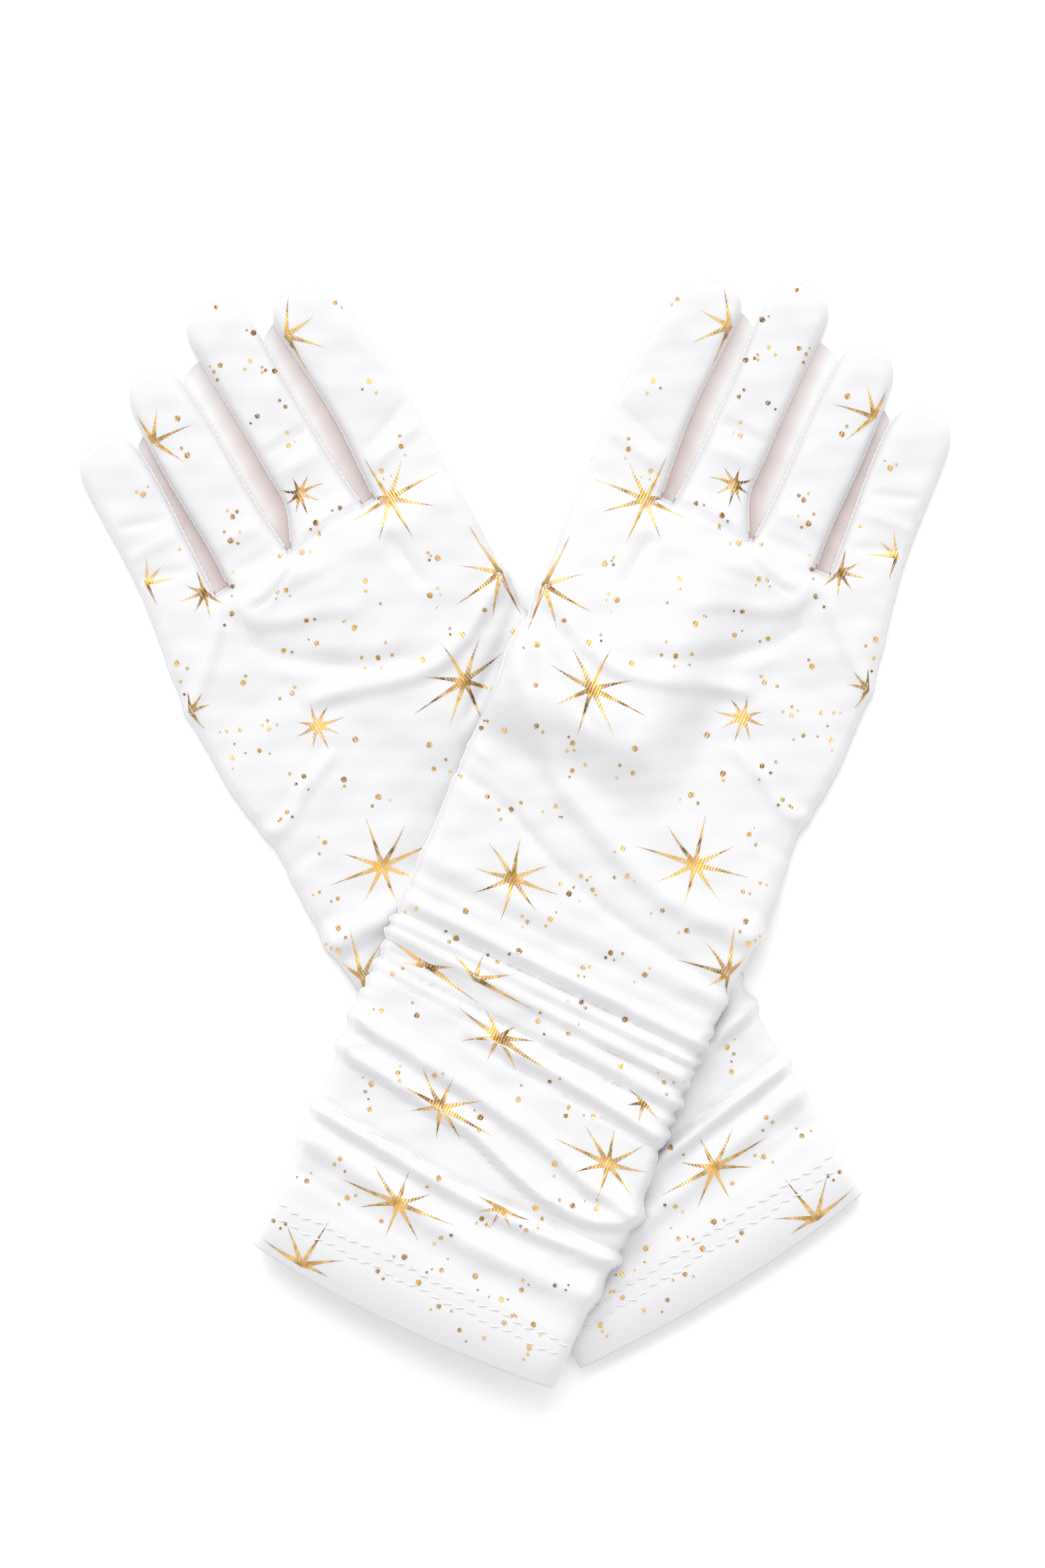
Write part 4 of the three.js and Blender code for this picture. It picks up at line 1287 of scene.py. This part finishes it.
class GLOVES_OT_thumbs(bpy.types.Operator):
    """Makes each thumb, folded flat under the palm"""
    bl_idname = "gloves.thumbs"
    bl_label = "Thumbs"

    def execute(self, context):
        count = THUMB_ROWS * THUMB_COLUMNS
        upper = np.arange(count).reshape(THUMB_ROWS, THUMB_COLUMNS)
        rim = np.ones(upper.shape, bool)
        rim[1:-1, 1:-1] = False
        lower = np.where(rim, upper, upper + count)
        faces = np.concatenate([quads(upper).reshape(-1, 4), turned_over(quads(lower))])
        kept, compact = np.unique(faces, return_inverse=True)
        around = np.concatenate([upper[:, 0], upper[-1, 1:-1], upper[::-1, -1], upper[0, -2:0:-1]])
        for side in SIDES:
            points = thumb_layers(side)
            points[upper[rim], 2] = (points[upper[rim], 2] + points[upper[rim] + count, 2]) / 2
            piece = make_piece(f"{side}_thumb_cloth", side, points[kept],
                               compact.reshape(-1, 4).tolist(), satin_material())
            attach(piece, f"{side}_thumb")
            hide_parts(f"{side}_thumb_upper", f"{side}_thumb_lower")
            cord, cord_faces = tube(points[around], THUMB_SEAM_RADIUS, closed=True)
            seam = make_piece(f"{side}_thumb_seam_thread", side, cord, cord_faces,
                              thread_material())
            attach(seam, f"{side}_thumb")
            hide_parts(f"{side}_thumb_seam")
        return {"FINISHED"}


class GLOVES_OT_elastics(bpy.types.Operator):
    """Finishes the elastic tapes in the gathers"""
    bl_idname = "gloves.elastics"
    bl_label = "Elastics"

    def execute(self, context):
        for side in SIDES:
            for edge in ("thumb_side", "little_side"):
                node = frame["nodes"][f"{side}_{edge}_elastic"]
                if not node.material_slots:
                    node.data.materials.append(elastic_material())
                node.material_slots[0].material = elastic_material()
        return {"FINISHED"}


# ------------------------------------------------------------------ print

def star(middle, ends, draw):
    """Points and faces, in u and v, of a starburst with tapering rays."""
    middle = np.array(middle, float)
    rays = [np.array(end, float) - middle for end in ends]
    rays.sort(key=lambda ray: math.atan2(ray[1], ray[0]))
    count = len(rays)
    angles = [math.atan2(ray[1], ray[0]) for ray in rays]
    mean = sum(np.linalg.norm(ray) for ray in rays) / count
    wide = RAY_HALF_WIDTH * (0.55 + 0.45 * min(1.0, mean / LONG_RAYS))
    notches = []
    for k in range(count):
        between = (angles[(k + 1) % count] - angles[k]) % (2 * math.pi)
        reach = min(wide / max(math.sin(min(between, math.pi) / 2), 0.15), NOTCH_REACH * mean)
        bearing = angles[k] + between / 2
        notches.append(middle + reach * np.array([math.cos(bearing), math.sin(bearing)]))
    points, faces = [middle], []
    for k, ray in enumerate(rays):
        length = np.linalg.norm(ray)
        forth = ray / length
        aside = np.array([-forth[1], forth[0]])
        steps = max(5, int(length / RAY_STEP))
        bend = draw.uniform(-RAY_BEND, RAY_BEND)
        base = len(points)
        for j in range(steps + 1):
            share = j / steps
            for notch, part in ((notches[k - 1], -1), (None, 0), (notches[k], 1)):
                if part == 0:
                    offset, start = 0.0, min(wide, 0.12 * length)
                else:
                    from_middle = notch - middle
                    offset, start = from_middle @ aside, from_middle @ forth
                    if j:
                        offset *= 1 - RAY_UNEVENNESS + draw.uniform(-RAY_UNEVENNESS, RAY_UNEVENNESS)
                drift = bend * math.sin(math.pi * share)
                along = start + (length - start) * share
                taper = (1 - share) ** RAY_TAPER + RAY_POINT
                points.append(middle + forth * along + aside * (offset * taper + drift))
        for j in range(steps):
            for i in range(2):
                a = base + 3 * j + i
                faces.append((a, a + 3, a + 4, a + 1))
        faces.append((0, base, base + 1))
        faces.append((0, base + 1, base + 2))
    return np.array(points), faces


def dot(u, v, radius, draw):
    """A small uneven disc."""
    turn = draw.uniform(0, 1)
    points = [(u, v)]
    for k in range(DOT_SIDES):
        angle = (k + turn) / DOT_SIDES * 2 * math.pi
        reach = radius * draw.uniform(0.85, 1.12)
        points.append((u + reach * math.cos(angle), v + reach * math.sin(angle)))
    faces = [(0, 1 + k, 1 + (k + 1) % DOT_SIDES) for k in range(DOT_SIDES)]
    return np.array(points), faces


@lru_cache(None)
def print_plan():
    """The whole print in u and v: points and faces of every starburst and dot."""
    draw = random.Random(7)
    parts = [star(one[0], one[1:], draw) for one in STARS]
    spots = list(DOTS)
    rays = np.concatenate([points for points, _ in parts])
    taken = [spot[:2] for spot in DOTS]
    tries = clusters = 0
    while clusters < DOT_CLUSTERS and tries < DOT_TRIES:
        tries += 1
        u, v = draw.uniform(*DOT_AREA[0]), draw.uniform(*DOT_AREA[1])
        if min(math.dist((u, v), spot) for spot in taken) < DOT_SPACING:
            continue
        if np.min(np.hypot(rays[:, 0] - u, rays[:, 1] - v)) < DOT_CLEARANCE:
            continue
        clusters += 1
        taken.append((u, v))
        spots.append((u, v, draw.uniform(*DOT_RADII)))
        for _ in range(draw.choice(SATELLITES)):
            angle, reach = draw.uniform(0, 2 * math.pi), draw.uniform(*SATELLITE_REACH)
            place = (u + reach * math.cos(angle), v + reach * math.sin(angle))
            spots.append((*place, draw.uniform(*SATELLITE_RADII)))
    for u, v, radius in spots:
        parts.append(dot(u, v, radius, draw))
    return join(parts)


class GLOVES_OT_print(bpy.types.Operator):
    """Lays the foil starbursts and dots on the back of each glove"""
    bl_idname = "gloves.foil"
    bl_label = "Foil Print"

    def execute(self, context):
        plan, faces = print_plan()
        corners = np.array([face + face[:1] if len(face) == 3 else face for face in faces])
        for side in SIDES:
            lifted = np.full((len(plan), 3), np.nan)
            for k, (u, v) in enumerate(plan):
                hit = on_surface(side, u, v)
                if hit is None or hit[1].z < PRINT_SLOPE:
                    continue
                lifted[k] = np.array((u, v, hit[0])) + np.array(hit[1]) * PRINT_LIFT
            whole = ~np.isnan(lifted[corners, 0]).any(axis=1)
            centre = plan[corners].mean(axis=1)
            ahead = centre[:, 1] >= PRINT_SPLIT
            parts = {"glove": whole & ~ahead}
            for name in FINGERS:
                low, high = finger_edges(name, centre[:, 1])
                parts[name] = whole & ahead & (centre[:, 0] > low) & (centre[:, 0] < high)
            for name, picked in parts.items():
                chosen = [faces[k] for k in np.flatnonzero(picked)]
                if not chosen:
                    continue
                kept = sorted({i for face in chosen for i in face})
                index = {old: new for new, old in enumerate(kept)}
                compact = [tuple(index[i] for i in face) for face in chosen]
                piece = make_piece(f"{side}_{name}_print", side, lifted[kept], compact,
                                   foil_material())
                if name == "glove":
                    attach(piece, f"{side}_glove")
                else:
                    blend_finger(piece, side, name)
        return {"FINISHED"}


# ------------------------------------------------------------------ stage

def soft_light(name, place, strength, spread):
    """Even light from a direction, as soft as a large window's; spread is the angle it fills."""
    lamp = bpy.data.lights.new(name, "SUN")
    lamp.energy = strength
    lamp.angle = math.radians(spread)
    holder = bpy.data.objects.new(name, lamp)
    holder.location = place
    holder.rotation_euler = (-Vector(place)).to_track_quat("-Z", "Y").to_euler()
    bpy.context.scene.collection.objects.link(holder)


class GLOVES_OT_stage(bpy.types.Operator):
    """Sets the pale floor, the soft studio light and the camera straight above"""
    bl_idname = "gloves.stage"
    bl_label = "Stage"

    def execute(self, context):
        mesh = bpy.data.meshes.new("floor")
        height = CAD_BOX[0][2] - FLOOR_GAP
        corners = [(x * FLOOR_REACH, y * FLOOR_REACH, height)
                   for x, y in ((-1, -1), (1, -1), (1, 1), (-1, 1))]
        mesh.from_pydata(corners, [], [(0, 1, 2, 3)])
        mesh.materials.append(floor_material())
        floor = bpy.data.objects.new("floor", mesh)
        context.scene.collection.objects.link(floor)

        world = bpy.data.worlds.new("studio")
        world.use_nodes = True
        background = world.node_tree.nodes["Background"]
        background.inputs["Color"].default_value = (1, 1, 1, 1)
        background.inputs["Strength"].default_value = SKY_STRENGTH
        context.scene.world = world
        soft_light("window light", **WINDOW)
        context.scene.view_settings.view_transform = "Standard"

        camera = bpy.data.cameras.new("camera")
        camera.sensor_fit = "AUTO"
        camera.lens = camera.sensor_width * sizes().camera_distance / sizes().view_height
        holder = bpy.data.objects.new("camera", camera)
        holder.location = (*CAMERA_OVER, sizes().camera_distance)
        context.scene.collection.objects.link(holder)
        context.scene.camera = holder
        return {"FINISHED"}


OPERATORS = (GLOVES_OT_cloth, GLOVES_OT_hems, GLOVES_OT_stitching, GLOVES_OT_seams, GLOVES_OT_thumbs,
             GLOVES_OT_elastics, GLOVES_OT_print, GLOVES_OT_stage)


class GLOVES_PT_panel(bpy.types.Panel):
    """The gloves' pieces and settings"""
    bl_idname = "GLOVES_PT_panel"
    bl_label = "Opera Gloves"
    bl_space_type = "VIEW_3D"
    bl_region_type = "UI"
    bl_category = "Gloves"

    def draw(self, context):
        for group in (context.scene.glove_sizes, context.scene.glove_colours):
            for name in group.__annotations__:
                self.layout.prop(group, name)
        for operator in OPERATORS:
            self.layout.operator(operator.bl_idname)


CLASSES = (GloveSizes, GloveColours, *OPERATORS, GLOVES_PT_panel)


def register():
    for item in CLASSES:
        bpy.utils.register_class(item)
    bpy.types.Scene.glove_sizes = bpy.props.PointerProperty(type=GloveSizes)
    bpy.types.Scene.glove_colours = bpy.props.PointerProperty(type=GloveColours)


def unregister():
    del bpy.types.Scene.glove_colours
    del bpy.types.Scene.glove_sizes
    for item in reversed(CLASSES):
        bpy.utils.unregister_class(item)


def main():
    register()
    for operator in OPERATORS:
        group, name = operator.bl_idname.split(".")
        getattr(getattr(bpy.ops, group), name)()


if __name__ == "__main__":
    main()
